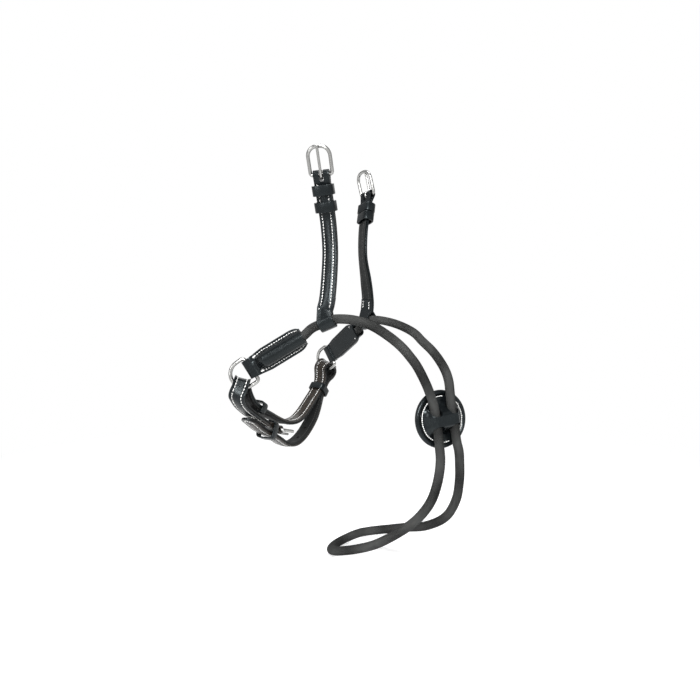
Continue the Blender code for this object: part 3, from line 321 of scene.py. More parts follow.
# Where the strap lies over each ring's wire, in degrees from the ring's far middle towards its lower leg
JAW_SEATS = {"near": 39.0, "far": 38.5}
JAW_SEAT_GAP = 0.0015
# How the strap is cupped across its width where it lies in a ring's curve, and how far along it
CUP_RADIUS = 0.0125
CUP_FLAT = 0.009
CUP_FADE = 0.012
# Each fold's line beside and above its wire, in shares of the fold's radius
NEAR_FOLD = ((-1.03, 0.22), (-0.65, 0.76), (0.03, 1.0), (0.70, 0.78), (1.08, 0.22))
FAR_FOLD = ((-0.78, 0.08), (-0.57, 0.76), (0.14, 1.0), (1.08, 0.89), (2.03, 0.49))
# Which way the strap's width runs at the near ring, at the bottom and at the far ring
JAW_ACROSS = (Vector((0.80, 0.53, -0.27)), Vector((1.0, 0.0, 0.0)), Vector((0.94, -0.15, -0.29)))
JAW_TURN_START = -0.082
JAW_TURN_RISE = 0.016
JAW_BUCKLE_AIM = Vector((0.0, 0.0285, -0.0085))

# Where the jaw strap's three keepers sit on it
POINT_KEEPER_SPOT = Vector((-0.0800, -0.0375, -0.1152))
LINE_KEEPER_SPOT = Vector((-0.0795, -0.0590, -0.0915))
FAR_KEEPER_SPOT = Vector((-0.0808, 0.0705, -0.0880))
LINE_KEEPER_ROOM = 0.0026

UP = Vector((0.0, 0.0, 1.0))
FORWARD = Vector((1.0, 0.0, 0.0))

# Points on a strap's middle line, and the least distance between two of its stations
LINE_POINTS = 900
STATION_GAP = 0.0004

# Details of the dressed pieces, and the angles above which their edges look sharp
EDGE_ROUND = 0.0005
SHARP_EDGE = 40.0
FOLD_EDGE = 50.0
SOFT_EDGE = 60.0
THREAD_EDGE = 80.0
KEEPER_BOW = 0.0004
CHEEK_KEEPER_ROUNDS = (0.0024, 0.0042)
JAW_KEEPER_ROUNDS = (0.0024, 0.0028)
SLOT_FOOT = 0.0056
TAB_STITCH_INSET = 0.0027
TAB_STITCH_START = 0.0004
TAB_STITCH_STOP = 0.0036
TAB_NOSE = 0.0052
TAB_NOSE_END = 0.0195
TAB_MOUTH_SHARES = (0, 0.006, 0.015, 0.03, 0.05, 0.08, 0.11, 0.15, 0.175)
TAB_BODY_SHARES = (0.78, 0.72, 0.66, 0.60, 0.54, 0.48, 0.42, 0.37)
TAB_WIDEST_ROW = 12
TAB_FILLET = ((0.0021, 0.0), (0.0012, 0.00008), (0.0006, 0.0004), (0.0002, 0.0011), (0.00002, 0.0022))
RAISE_END = 0.006
POINT_SHARES = (1.0, 0.85, 0.7, 0.55, 0.42, 0.3, 0.2, 0.12, 0.06, 0.02, 0.0)
POINT_BLUNT = 0.22
DISC_EDGE_LIFT = 0.0011
DISC_LIFT_START = 0.0175
DISC_LIFT_REACH = 0.0045
DISC_FACETS = 128
DISC_STITCHES = 68
DISC_STITCH_INSET = 0.0010
DISC_STITCH_PLUMP = 1.15
DISC_STITCH_LIFT = 0.0001
DISC_ROPE_REACH = 0.012
SLOPE_STEP = 0.0002
STITCH_ROW = STRAP_WIDTH * 0.295
STITCH_SINK = 0.00006
STITCH_SPAN = (0.09, 0.91)
STITCH_FLATNESS = 0.8

# The floor, and the lamps as name, place, size and share of the key lamp's power
FLOOR_LEVEL = -0.2625
FLOOR_SIZE = 30.0
FLOOR_FADE = (0.25, 0.75)
LAMP_AIM = Vector((0.0, 0.0, -0.05))
LAMPS = (
    ("key_lamp", (0.58, -1.22, 0.55), (0.5, 0.5), 1.0),
    ("top_lamp", (0.10, -0.42, 1.28), (0.9, 0.3), 0.55),
    ("side_lamp", (-0.42, -1.30, 0.30), (0.22, 0.9), 0.22),
    ("back_lamp", (-0.7, 1.2, 0.95), (1.0, 0.7), 0.12),
)

# Distances that follow from the sizes above
LAYER_OFFSET = (STRAP_THICKNESS + LAYER_GAP) / 2
STRAP_FACE = LAYER_OFFSET + STRAP_THICKNESS / 2
LINING_BACK = -(LAYER_GAP / 2 + LINING_THICKNESS)
FOLD_RADIUS = BUCKLE_WIRE / 2 + BAR_CLEARANCE + STRAP_THICKNESS / 2
LOOP_RADIUS = ROPE_DIAMETER / 2 + LOOP_CLEARANCE + STRAP_THICKNESS / 2
KEEPER_HALF = STRAP_WIDTH / 2 + KEEPER_SIDE_GAP
RING_RADIUS = (RING_INNER_WIDTH + RING_WIRE) / 2
JAW_FOLD_RADIUS = RING_WIRE / 2 + JAW_SEAT_GAP + LAYER_GAP / 2 + LINING_THICKNESS
TAB_FLAT_LEVEL = SEAT_GAP / 2 + TAB_THICKNESS / 2
TAB_FOLD_RADIUS = RING_WIRE / 2 + BAR_CLEARANCE + TAB_THICKNESS / 2
TAB_ROPE_LEVEL = SEAT_GAP / 2 + SEAT_GAP + ROPE_DIAMETER / 2
DISC_LEVEL = -(ROPE_DIAMETER / 2 + SEAT_GAP + DISC_DISH + DISC_LEATHER / 2)
BRIDGE_LEVEL = ROPE_DIAMETER / 2 + LOOP_CLEARANCE + DISC_LEATHER / 2
RIM_LEVEL = -(ROPE_DIAMETER / 2 + SEAT_GAP + DISC_RIM / 2)
ROPE_COVER = ROPE_DIAMETER / 2 + DISC_LEATHER / 2 + 0.0004


# Placements, lines and routes

def axes(origin, x_axis, y_axis, z_axis):
    """A placement matrix from an origin and three unit axes."""
    matrix = Matrix((x_axis, y_axis, z_axis)).transposed().to_4x4()
    matrix.translation = origin
    return matrix


def ease(share):
    """A smooth step from zero to one."""
    share = min(max(share, 0.0), 1.0)
    return share * share * (3 - 2 * share)


def eased_fall(distance, flat, fall):
    """One on the flat, easing to zero over the fall."""
    return 1 - ease((distance - flat) / fall)


def blend_table(table, place):
    """Reads a value from (place, value) rows, eased between them."""
    if place <= table[0][0]:
        return table[0][1]
    for (start, low), (end, high) in zip(table, table[1:]):
        if place <= end:
            return low + (high - low) * ease((place - start) / (end - start))
    return table[-1][1]


def smooth_curve(points, count):
    """Evenly spaced points on a smooth curve through the given points."""
    knots = [Vector(point) for point in points]
    padded = [2 * knots[0] - knots[1], *knots, 2 * knots[-1] - knots[-2]]
    dense = []
    for before, start, end, after in zip(padded, padded[1:], padded[2:], padded[3:]):
        dense.extend(catmull_rom(before, start, end, after, step / 24) for step in range(24))
    dense.append(knots[-1])
    return resample(dense, count)


def catmull_rom(before, start, end, after, share):
    """Centripetal Catmull-Rom point, which makes no loops between uneven knots."""
    t1 = math.sqrt((start - before).length)
    t2 = t1 + math.sqrt((end - start).length)
    t3 = t2 + math.sqrt((after - end).length)
    t = t1 + (t2 - t1) * share
    a1 = before.lerp(start, t / t1)
    a2 = start.lerp(end, (t - t1) / (t2 - t1))
    a3 = end.lerp(after, (t - t2) / (t3 - t2))
    b1 = a1.lerp(a2, t / t2)
    b2 = a2.lerp(a3, (t - t1) / (t3 - t1))
    return b1.lerp(b2, (t - t1) / (t2 - t1))


def running_lengths(points):
    """How far along a row of points each of them lies."""
    return [0.0, *itertools.accumulate((end - start).length for start, end in zip(points, points[1:]))]


def resample(points, count):
    """Evenly spaced points along a row of points."""
    lengths = running_lengths(points)
    result = []
    index = 0
    for step in range(count):
        target = lengths[-1] * step / (count - 1)
        while index < len(points) - 2 and lengths[index + 1] < target:
            index += 1
        span = lengths[index + 1] - lengths[index]
        share = (target - lengths[index]) / span if span else 0.0
        result.append(points[index].lerp(points[index + 1], share))
    return result


class Line:
    """A strap's middle line: places along it give a point and the strap's own three directions."""

    def __init__(self, points, turn, out):
        self.points = smooth_curve(points, LINE_POINTS)
        self.lengths = running_lengths(self.points)
        self.length = self.lengths[-1]
        self.turn = turn
        self.out = out
        self.cups = ()
        self.stations = self.choose_stations()

    def choose_stations(self):
        """Places along the line, close together where it bends and further apart where it is straight."""
        stations = [0.0]
        _, width, _, heading = self.frame(0.0)
        for place in self.lengths[1:-1]:
            _, across, _, along = self.frame(place)
            bend = math.degrees(heading.angle(along))
            twist = math.degrees(width.angle(across))
            if bend > STEP_BEND or twist > STEP_TWIST or place - stations[-1] > LONGEST_STEP:
                stations.append(place)
                heading = along
                width = across
        return stations

    def stretch(self, start, end):
        """The stations between two places, with both places, in order from start to end."""
        low, high = sorted((start, end))
        inner = [place for place in self.stations if low + STATION_GAP < place < high - STATION_GAP]
        places = [low, *inner, high]
        return places if start < end else places[::-1]

    def frame(self, place):
        """Point, across, outward and along directions at a place, past the ends too."""
        last = len(self.points) - 1
        spot = min(max(place, 0.0), self.length) / self.length * last
        index = min(int(spot), last - 1)
        point = self.points[index].lerp(self.points[index + 1], spot - index)
        back = self.points[max(index - 4, 0)]
        ahead = self.points[min(index + 5, last)]
        along = (ahead - back).normalized()
        if place < 0.0:
            point = point + along * place
        if place > self.length:
            point = point + along * (place - self.length)
        across = self.turn(place, point)
        across = (across - along * across.dot(along)).normalized()
        outward = self.out(across, along)
        return point, outward.cross(along), outward, along

    def matrix(self, place):
        return axes(*self.frame(place))

    def bend(self, across_by, outward_by, place):
        """The point at a distance across the strap and out from its middle line."""
        point, across, outward, _ = self.frame(place)
        return point + across * across_by + outward * (outward_by + self.cup(place) * across_by ** 2)

    def cup(self, place):
        """How strongly the strap is cupped across its width, as it is where it lies in a ring."""
        reach = min((abs(place - spot) for spot in self.cups), default=CUP_FLAT + CUP_FADE)
        return eased_fall(reach, CUP_FLAT, CUP_FADE) / (2 * CUP_RADIUS)

    def nearest(self, target):
        """The place along the line that lies closest to a point."""
        best = min(range(len(self.points)), key=lambda index: (self.points[index] - target).length)
        return self.lengths[best]


def arc_points(centre, radius, start, end, count):
    """Points on an arc, as (outward, along) pairs; the angle starts at outward."""
    angles = [math.radians(start + (end - start) * step / count) for step in range(count + 1)]
    return [(centre[0] + radius * math.cos(a), centre[1] + radius * math.sin(a)) for a in angles]


def wrap_end(place, radius, neck, upward):
    """Path round a bar or rope at a place; its necks lie above it if upward, else below."""
    reach = math.hypot(LAYER_OFFSET, neck)
    rise = math.degrees(math.atan2(neck, LAYER_OFFSET) - math.acos(radius / reach))
    if upward:
        return arc_points((0.0, place), radius, 180 - rise, 360 + rise, 26 if radius > 0.005 else 18)
    return arc_points((0.0, place), radius, -rise, 180 + rise, 18)


def wire_corner(middle, height, radius, start, end, count):
    """Points round a corner in the plane of a wire: across, zero, along."""
    arc = arc_points((middle, height), radius, start, end, count)
    return [(across, 0.0, along) for across, along in arc]


def buckle_outline():
    """A buckle's wire: straight bar, square-set legs and an arched top."""
    half = STRAP_WIDTH / 2 + BUCKLE_SIDE_GAP + BUCKLE_WIRE / 2
    leg = BUCKLE_LENGTH - BUCKLE_ARCH
    outline = wire_corner(half - BUCKLE_CORNER, BUCKLE_CORNER, BUCKLE_CORNER, -90, 0, 8)
    for step in range(33):
        angle = math.radians(180 * step / 32)
        across = half * math.copysign(abs(math.cos(angle)) ** 0.8, math.cos(angle))
        outline.append((across, 0.0, leg + BUCKLE_ARCH * math.sin(angle)))
    return outline + wire_corner(-half + BUCKLE_CORNER, BUCKLE_CORNER, BUCKLE_CORNER, 180, 270, 8)


def ring_outline():
    """A D-ring's wire: the straight bar, two short legs and a half circle."""
    outline = wire_corner(RING_RADIUS - RING_CORNER, RING_CORNER, RING_CORNER, -90, 0, 6)
    outline += wire_corner(0.0, RING_LEG, RING_RADIUS, 0, 180, 40)
    return outline + wire_corner(-RING_RADIUS + RING_CORNER, RING_CORNER, RING_CORNER, 180, 270, 6)


def tongue_outline():
    """A tongue's wire: an open eye round the bar, then a shank that ends on the buckle's top."""
    eye = (BUCKLE_WIRE + TONGUE_WIRE) / 2 + BAR_CLEARANCE
    rest = eye + SEAT_GAP
    outline = [(0.0, out, along) for out, along in arc_points((0.0, 0.0), eye, -235, -5, 23)]
    outline.append((0.0, eye, BUCKLE_LENGTH * 0.25))
    outline.append((0.0, rest, BUCKLE_LENGTH * 0.6))
    outline.append((0.0, rest, BUCKLE_LENGTH + TONGUE_WIRE * 0.4))
    return outline


def loop_direction(side):
    """Which way the rope runs through a cheek strap's loop, from its tab towards the nose."""
    before = (side["loop"] - side["tab_tip"]).normalized()
    after = (side["arch_start"] - side["loop"]).normalized()
    return (before + after).normalized()


def cheek_line(side):
    """Middle line of a cheek strap from its loop up, and the place on it of its buckle's bar."""
    loop = side["loop"]
    out = side["out"]
    along_rope = loop_direction(side)
    rise = (UP - along_rope * UP.dot(along_rope)).normalized()
    points = [loop, loop + rise * (LOOP_NECK * 0.55)]
    for forward, bow, share in CHEEK_LINE:
        points.append(Vector((loop.x + forward, loop.y - out * bow, CHEEK_HEIGHT * share)))
    top = Vector((loop.x + CHEEK_TOP_FORWARD, loop.y - out * CHEEK_TOP_BOW, CHEEK_HEIGHT))
    tilt = CHEEK_TOP_TILT.normalized()
    points += [top, top + Vector((tilt.x, -out * tilt.y, tilt.z)) * 0.006]

    def turn(place, point):
        angle = -out * math.radians(blend_table(side["strap_turn"], place / CHEEK_HEIGHT))
        level = Vector((math.cos(angle), math.sin(angle), 0.0))
        return along_rope.lerp(level, ease(place / 0.03))

    def outward(across, along):
        normal = across.cross(along)
        return normal if normal.y * out > 0 else -normal

    line = Line(points, turn, outward)
    return line, line.nearest(top)


def cheek_path(line, top):
    """Path of a cheek strap's leather: turned end, loop, face, fold at the bar and turned top."""
    path = [(-LAYER_OFFSET, place) for place in line.stretch(TURNED_END, LOOP_NECK)]
    path += wrap_end(0.0, LOOP_RADIUS, LOOP_NECK, True)
    path += [(LAYER_OFFSET, place) for place in line.stretch(LOOP_NECK, top - BAR_NECK)]
    path += wrap_end(top, FOLD_RADIUS, BAR_NECK, False)
    path += [(-LAYER_OFFSET, place) for place in line.stretch(top - BAR_NECK, top - TURNED_TOP)]
    return path


def crown_bar(line, top, side):
    """Where a crown buckle's bar lies, and which way its frame stands in the strap's fold."""
    point, across, outward, along = line.frame(top)
    forward_lean, out_lean = side["buckle_lean"]
    rise = along + FORWARD * forward_lean + outward * out_lean
    rise = (rise - across * rise.dot(across)).normalized()
    face = (outward - rise * outward.dot(rise)).normalized()
    return axes(point, face.cross(rise), face, rise)


def tab_frame(side):
    """A tab's axes at the ring's bar: up the bar, outward, and from the fold towards the rope."""
    toward_rope = Vector((TAB_RUN.x, TAB_RUN.y * -side["out"], TAB_RUN.z)).normalized()
    level = UP.cross(toward_rope).normalized()
    outward = level if level.y * side["out"] > 0 else -level
    outward = Quaternion(toward_rope, math.radians(side["tab_roll"]) * side["out"]) @ outward
    origin = side["tab_tip"] - toward_rope * TAB_LENGTH - outward * side["tab_inset"]
    return axes(origin, outward.cross(toward_rope), outward, toward_rope)


def tab_half_width(place):
    """Half of a tab's width at a distance from its ring's bar."""
    fold = TAB_FOLD_WIDTH / 2
    body = TAB_WIDTH / 2
    mouth = TAB_MOUTH_WIDTH / 2
    start = TAB_LENGTH - TAB_ROUND_END
    if place < TAB_RISE_END:
        return fold + (body - fold) * (max(place, 0.0) / TAB_RISE_END)
    if place < start:
        return body
    share = min((place - start) / TAB_ROUND_END, 1.0)
    return mouth + (body - mouth) * math.sqrt(max(1 - share * share, 0.0))


def ring_frame(side):
    """A ring's axes at its bar: along the bar, the ring's face, and from its bar to its far middle."""
    tab = tab_frame(side)
    outward = tab.col[1].to_3d()
    away = -tab.col[2].to_3d()
    swing = math.radians(side["ring_swing"])
    reach = (away * math.cos(swing) - outward * math.sin(swing)).normalized()
    face = (outward * math.cos(swing) + away * math.sin(swing)).normalized()
    down = reach.cross(face) if reach.cross(face).z < 0 else face.cross(reach)
    tilt = math.radians(side["ring_tilt"])
    reach = (reach * math.cos(tilt) - down * math.sin(tilt)).normalized()
    origin = tab @ Vector((0.0, 0.0, RING_BAR_PLACE)) + down * RING_SAG
    return axes(origin, face.cross(reach), face, reach)


def ring_seat(name):
    """The middle of a ring's wire where the jaw strap lies over it."""
    place = ring_frame(SIDES[name])
    turn = math.radians(JAW_SEATS[name]) * (1 if place.col[0].z < 0 else -1)
    return place @ Vector((RING_RADIUS * math.sin(turn), 0.0, RING_LEG + RING_RADIUS * math.cos(turn)))


def fold_over(seat, across, shape):
    """Points of the strap's middle line where it folds over a ring's wire."""
    beside = UP.cross(across).normalized()
    above = across.cross(beside).normalized()
    return [seat + (beside * step + above * rise) * JAW_FOLD_RADIUS for step, rise in shape]


def jaw_line():
    """Middle line of the jaw strap, from its buckle's bar to its loose point."""
    near_seat = ring_seat("near")
    far_seat = ring_seat("far")
    points = [*JAW_FROM_BUCKLE, *fold_over(near_seat, JAW_ACROSS[0], NEAR_FOLD)]
    points += [*JAW_ALONG_BOTTOM, *fold_over(far_seat, JAW_ACROSS[2], FAR_FOLD), *JAW_TO_POINT]

    def turn(place, point):
        held = JAW_ACROSS[0] if point.y < 0.0 else JAW_ACROSS[2]
        return JAW_ACROSS[1].lerp(held, 1 - eased_fall(point.z, JAW_TURN_START, JAW_TURN_RISE))

    def outward(across, along):
        return along.cross(across) * -1.0

    line = Line(points, turn, outward)
    line.cups = [line.nearest(seat) for seat in (near_seat, far_seat)]
    return line


def strand_height(line, place, skip):
    """How far out from a place on the strap the closest other stretch of it passes."""
    here = line.frame(place)[0]
    others = [point for point, spot in zip(line.points, line.lengths) if abs(spot - place) > skip]
    closest = min(others, key=lambda point: (point - here).length)
    return (line.matrix(place).inverted() @ closest).y


def disc_frame():
    """The disc's axes: across both ropes, up along them, and out from the horse's nose."""
    turn = math.radians(DISC_TURN)
    lean = math.radians(DISC_LEAN)
    out = Vector((math.cos(lean) * math.cos(turn), -math.cos(lean) * math.sin(turn), math.sin(lean)))
    across = Quaternion(out, math.radians(DISC_ROLL)) @ Vector((math.sin(turn), math.cos(turn), 0.0))
    return axes(DISC_CENTRE, across, out.cross(across), out)


def end_route(side):
    """The rope's middle from its hidden end in a tab, through the cheek strap's loop, to the arch."""
    place = tab_frame(side)
    room = TAB_LENGTH - ROPE_END_SETBACK
    route = [place @ Vector((0.0, TAB_ROPE_LEVEL, ROPE_END_SETBACK + room * step / 3)) for step in range(4)]
    reach = loop_direction(side) * STRAP_WIDTH * 0.42
    loop = side["loop"]
    return [*route, side["rope_rise"], loop - reach, loop, loop + reach, side["arch_start"]]


def rope_route():
    """The rope's middle, from its end in the near tab round the chin to its end in the far tab."""
    disc = disc_frame()
    beside_disc = [[disc @ Vector(point) for point in route] for route in (NEAR_DISC_ROUTE, FAR_DISC_ROUTE)]
    route = [*end_route(SIDES["near"]), *NEAR_ARCH, *beside_disc[0], *CHIN_LOOP, *beside_disc[1], *FAR_ARCH]
    return route + end_route(SIDES["far"])[::-1]


# Meshes

def shaded(mesh, sharp):
    """Shades a mesh smooth, but for edges sharper than an angle in degrees."""
    mesh.shade_smooth()
    mesh.set_sharp_from_angle(angle=math.radians(sharp))
    return mesh


def clean_mesh(bm, name, sharp=SHARP_EDGE):
    """Merges doubles, turns the faces outwards and shades a finished body."""
    bmesh.ops.remove_doubles(bm, verts=bm.verts[:], dist=1e-6)
    bmesh.ops.recalc_face_normals(bm, faces=bm.faces[:])
    mesh = bpy.data.meshes.new(name)
    bm.to_mesh(mesh)
    bm.free()
    return shaded(mesh, sharp)


def linked(name, data):
    """A new object in the scene."""
    item = bpy.data.objects.new(name, data)
    bpy.context.collection.objects.link(item)
    return item


def baked(item):
    """The mesh that an object's bevel or modifiers give it. The object and its own data are removed."""
    name = item.data.name
    mesh = bpy.data.meshes.new_from_object(item.evaluated_get(bpy.context.evaluated_depsgraph_get()))
    bpy.data.batch_remove((item, item.data))
    mesh.name = name
    return mesh


def add_piece(mesh, material, body, node=""):
    """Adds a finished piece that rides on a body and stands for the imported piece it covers."""
    piece = linked(mesh.name, mesh)
    mesh.materials.clear()
    mesh.materials.append(material)
    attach(piece, body)
    if node:
        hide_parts(node)
    return piece


def carve(mesh, cutters, operation="DIFFERENCE"):
    """Takes cutters, or what lies outside them, off a mesh and gives back what is left."""
    held = linked(mesh.name, mesh)
    tools = [linked("cutter", cutter) for cutter in cutters]
    for tool in tools:
        modifier = held.modifiers.new("cut", "BOOLEAN")
        modifier.operation = operation
        modifier.object = tool
    left = baked(held)
    bpy.data.batch_remove([item for tool in tools for item in (tool, tool.data)])
    return shaded(left, SHARP_EDGE)


def thickened(mesh, thickness, edge=0.0):
    """Gives a plain sheet the thickness of its leather, and rounds its edges if asked to."""
    held = linked(mesh.name, mesh)
    wall = held.modifiers.new("leather", "SOLIDIFY")
    wall.thickness = thickness
    wall.offset = 0.0
    wall.use_even_offset = True
    if edge:
        soft = held.modifiers.new("edges", "BEVEL")
        soft.width = edge
        soft.segments = 3
        soft.limit_method = "ANGLE"
        soft.angle_limit = math.radians(FOLD_EDGE)
    return shaded(baked(held), FOLD_EDGE)


def wire_mesh(name, outline, wire, place, cyclic=True, sides=7):
    """A round wire bent to an outline, with its place in its mesh."""
    curve = bpy.data.curves.new(name, "CURVE")
    curve.dimensions = "3D"
    curve.bevel_depth = wire / 2
    curve.bevel_resolution = sides
    curve.use_fill_caps = True
    spline = curve.splines.new("POLY")
    spline.points.add(len(outline) - 1)
    for point, spot in zip(spline.points, outline):
        point.co = (*spot, 1.0)
    spline.use_cyclic_u = cyclic
    spline.use_smooth = True
    mesh = baked(linked(name, curve))
    mesh.transform(place)
    mesh.shade_smooth()
    return mesh


def bridged_sheet(name, rows):
    """A sheet through rows of points."""
    bm = bmesh.new()
    edges = []
    for row in rows:
        spots = [bm.verts.new(spot) for spot in row]
        next_edges = [bm.edges.new(pair) for pair in zip(spots, spots[1:])]
        if edges:
            bmesh.ops.bridge_loops(bm, edges=edges + next_edges)
        edges = next_edges
    return clean_mesh(bm, name, SOFT_EDGE)


def raise_faces(bm, height):
    """Extrudes all of a flat shape's faces straight up into a body."""
    grown = bmesh.ops.extrude_face_region(bm, geom=bm.faces[:])["geom"]
    raised = [item for item in grown if isinstance(item, bmesh.types.BMVert)]
    bmesh.ops.translate(bm, vec=(0.0, 0.0, height), verts=raised)


def round_edges(bm, edges, offset, segments):
    bmesh.ops.bevel(bm, geom=edges, offset=offset, segments=segments, profile=0.5, affect="EDGES",
                    material=-1)


def round_cutter(name, radius, depth, segments, place):
    """A plain cylinder that cuts a round hole or trims a round edge."""
    bm = bmesh.new()
    bmesh.ops.create_cone(bm, cap_ends=True, segments=segments, radius1=radius, radius2=radius, depth=depth)
    bmesh.ops.transform(bm, matrix=place, verts=bm.verts[:])
    return clean_mesh(bm, name)


def sweep(name, sections):
    """Extrudes a closed outline through a row of like outlines into one body."""
    bm = bmesh.new()
    face = bm.faces.new([bm.verts.new(point) for point in sections[0]])
    for section in sections[1:]:
        grown = bmesh.ops.extrude_face_region(bm, geom=[face, *face.edges, *face.verts])["geom"]
        face = next(item for item in grown if isinstance(item, bmesh.types.BMFace))
        for vertex, point in zip(face.verts, section):
            vertex.co = point
    return clean_mesh(bm, name)


def edge_round(across, depth, start):
    """A strap edge's small rounding, a quarter turn from a starting angle."""
    return arc_points((across, depth), EDGE_ROUND, start, start + 90, 3)


def strap_outline(width, raise_by):
    """Cross-section of a strap layer with rounded edges, stitch grooves and a raised middle."""
    half = width / 2
    face = STRAP_THICKNESS / 2
    inner = half - EDGE_ROUND
    depth = face - EDGE_ROUND
    groove = -0.16 * min(raise_by * 2000, 1)
    crown = [(share, face + height * 0.001)
             for share, height in ((0.73, -0.02), (0.66, -0.02), (0.60, groove), (0.54, 0.0))]
    crown += [(share, face + raise_by * rise) for share, rise in ((0.46, 0.42), (0.36, 0.78), (0.22, 0.96))]
    outline = edge_round(-inner, -depth, 180)
    outline += [(half * share, -face) for share in (-0.5, -0.2, 0.2, 0.5)]
    outline += edge_round(inner, -depth, 270) + edge_round(inner, depth, 0)
    outline += [(half * share, height) for share, height in crown]
    outline += [(0.0, face + raise_by)]
    outline += [(-half * share, height) for share, height in reversed(crown)]
    return outline + edge_round(-inner, depth, 90)


def layer(name, line, path, width_at, raise_at):
    """Sweeps a strap layer along a path beside the strap's middle line."""
    sections = []
    for index, (outward, place) in enumerate(path):
        before = path[max(index - 1, 0)]
        after = path[min(index + 1, len(path) - 1)]
        run = Vector((after[0] - before[0], after[1] - before[1])).normalized()
        sections.append([
            line.bend(across, outward + run.y * depth, place - run.x * depth)
            for across, depth in strap_outline(width_at(place), raise_at(outward, place))
        ])
    return sweep(name, sections)


def backing(name, line, start, end):
    """Sweeps a strap's flat lining with rounded edges."""
    middle = -(LAYER_GAP + LINING_THICKNESS) / 2
    face = LINING_THICKNESS / 2
    inner = STRAP_WIDTH / 2 - EDGE_ROUND
    depth = face - EDGE_ROUND
    shares = (-0.3, -0.15, 0.0, 0.15, 0.3)
    outline = edge_round(-inner, -depth, 180) + [(STRAP_WIDTH * share, -face) for share in shares]
    outline += edge_round(inner, -depth, 270) + edge_round(inner, depth, 0)
    outline += [(STRAP_WIDTH * share, face) for share in reversed(shares)] + edge_round(-inner, depth, 90)
    sections = [
        [line.bend(across, middle + rise, place) for across, rise in outline]
        for place in line.stretch(start, end)
    ]
    return sweep(name, sections)


def stitch(bm, start, end, outward, plump=1.0):
    """One stitch: the thread's short hump between two needle holes."""
    radius = bpy.context.scene.noseband_thread.thickness / 2 * plump
    along = (end - start).normalized()
    side = outward.cross(along).normalized()
    place = axes((start + end) / 2, side, along.cross(side), along)
    shape = Matrix.Diagonal((radius, radius * STITCH_FLATNESS, (end - start).length / 2, 1.0))
    bmesh.ops.create_uvsphere(bm, u_segments=6, v_segments=5, radius=1.0, matrix=place @ shape)


def stitch_row(bm, spots, outward):
    """Stitches between neighbouring spots."""
    for start, end in zip(spots, spots[1:]):
        stitch(bm, *[start.lerp(end, share) for share in STITCH_SPAN], outward)


def strap_row(bm, line, across, depth, start, end):
    """A row of stitches along a strap, at a distance across it and out from its middle line."""
    count = max(round(abs(end - start) / bpy.context.scene.noseband_thread.pitch), 1)
    out = math.copysign(1.0, depth)
    for step in range(count):
        places = [start + (end - start) * (step + share) / count for share in STITCH_SPAN]
        ends = [line.bend(across, depth, place) for place in places]
        stitch(bm, *ends, line.frame(places[0])[2] * out)


def add_thread(name, bm, material, body):
    """Adds finished stitching as a piece of its own."""
    add_piece(clean_mesh(bm, name, THREAD_EDGE), material, body)


# Materials

class Nodes:
    """Adds nodes to a tree. An input takes a socket or a plain value, and most methods give an output."""

    def __init__(self, tree):
        self.tree = tree

    def feed(self, socket, value):
        if isinstance(value, bpy.types.NodeSocket):
            self.tree.links.new(value, socket)
        else:
            socket.default_value = (*value, 1.0) if socket.type == "RGBA" else value

    def add(self, kind, inputs, **settings):
        """Adds a node with its settings and inputs, and gives its outputs."""
        node = self.tree.nodes.new(kind)
        for name, value in settings.items():
            setattr(node, name, value)
        for name, value in inputs.items():
            self.feed(node.inputs[name], value)
        return node.outputs

    def place(self, kind="Object"):
        return self.add("ShaderNodeTexCoord", {})[kind]

    def calc(self, operation, *values):
        return self.add("ShaderNodeMath", dict(enumerate(values)), operation=operation)[0]

    def spread(self, value, low, high, to_low=0.0, to_high=1.0):
        """Spreads what lies between two levels over two others."""
        levels = {"Value": value, "From Min": low, "From Max": high, "To Min": to_low, "To Max": to_high}
        return self.add("ShaderNodeMapRange", levels)["Result"]

    def noise(self, vector, scale, detail):
        return self.add("ShaderNodeTexNoise", {"Vector": vector, "Scale": scale, "Detail": detail})["Fac"]

    def mix(self, factor, first, second):
        """A mix of two colours."""
        return self.add("ShaderNodeMix", {0: factor, 6: first, 7: second}, data_type="RGBA")[2]

    def mix_values(self, factor, first, second):
        return self.add("ShaderNodeMix", {0: factor, 2: first, 3: second}, data_type="FLOAT")[0]

    def bump(self, height, strength, distance):
        relief = {"Height": height, "Strength": strength, "Distance": distance}
        return self.add("ShaderNodeBump", relief)["Normal"]

    def group(self, title, build, defaults, **values):
        """Places a shader group, which is built the first time that it is asked for."""
        tree = bpy.data.node_groups.get(title) or new_group(title, build, defaults)
        return self.add("ShaderNodeGroup", values, node_tree=tree)


def new_group(title, build, defaults):
    """A shader group with named inputs. Build adds its nodes and gives its outputs by name."""
    tree = bpy.data.node_groups.new(title, "ShaderNodeTree")
    for name, value in defaults.items():
        socket = tree.interface.new_socket(name, in_out="INPUT", socket_type="NodeSocketFloat")
        socket.default_value = value
    nodes = Nodes(tree)
    outputs = build(nodes, nodes.add("NodeGroupInput", {}))
    for name in outputs:
        tree.interface.new_socket(name, in_out="OUTPUT", socket_type="NodeSocketFloat")
    nodes.add("NodeGroupOutput", outputs)
    return tree


def new_material(title, build):
    """A material, made the first time that it is asked for. Build gives its shader's inputs by name."""
    material = bpy.data.materials.get(title)
    if not material:
        material = bpy.data.materials.new(title)
        material.use_nodes = True
        nodes = Nodes(material.node_tree)
        shader = material.node_tree.nodes["Principled BSDF"]
        for name, value in build(nodes).items():
            nodes.feed(shader.inputs[name], value)
    return material


def scaled(colour, share):
    return tuple(channel * share for channel in colour)


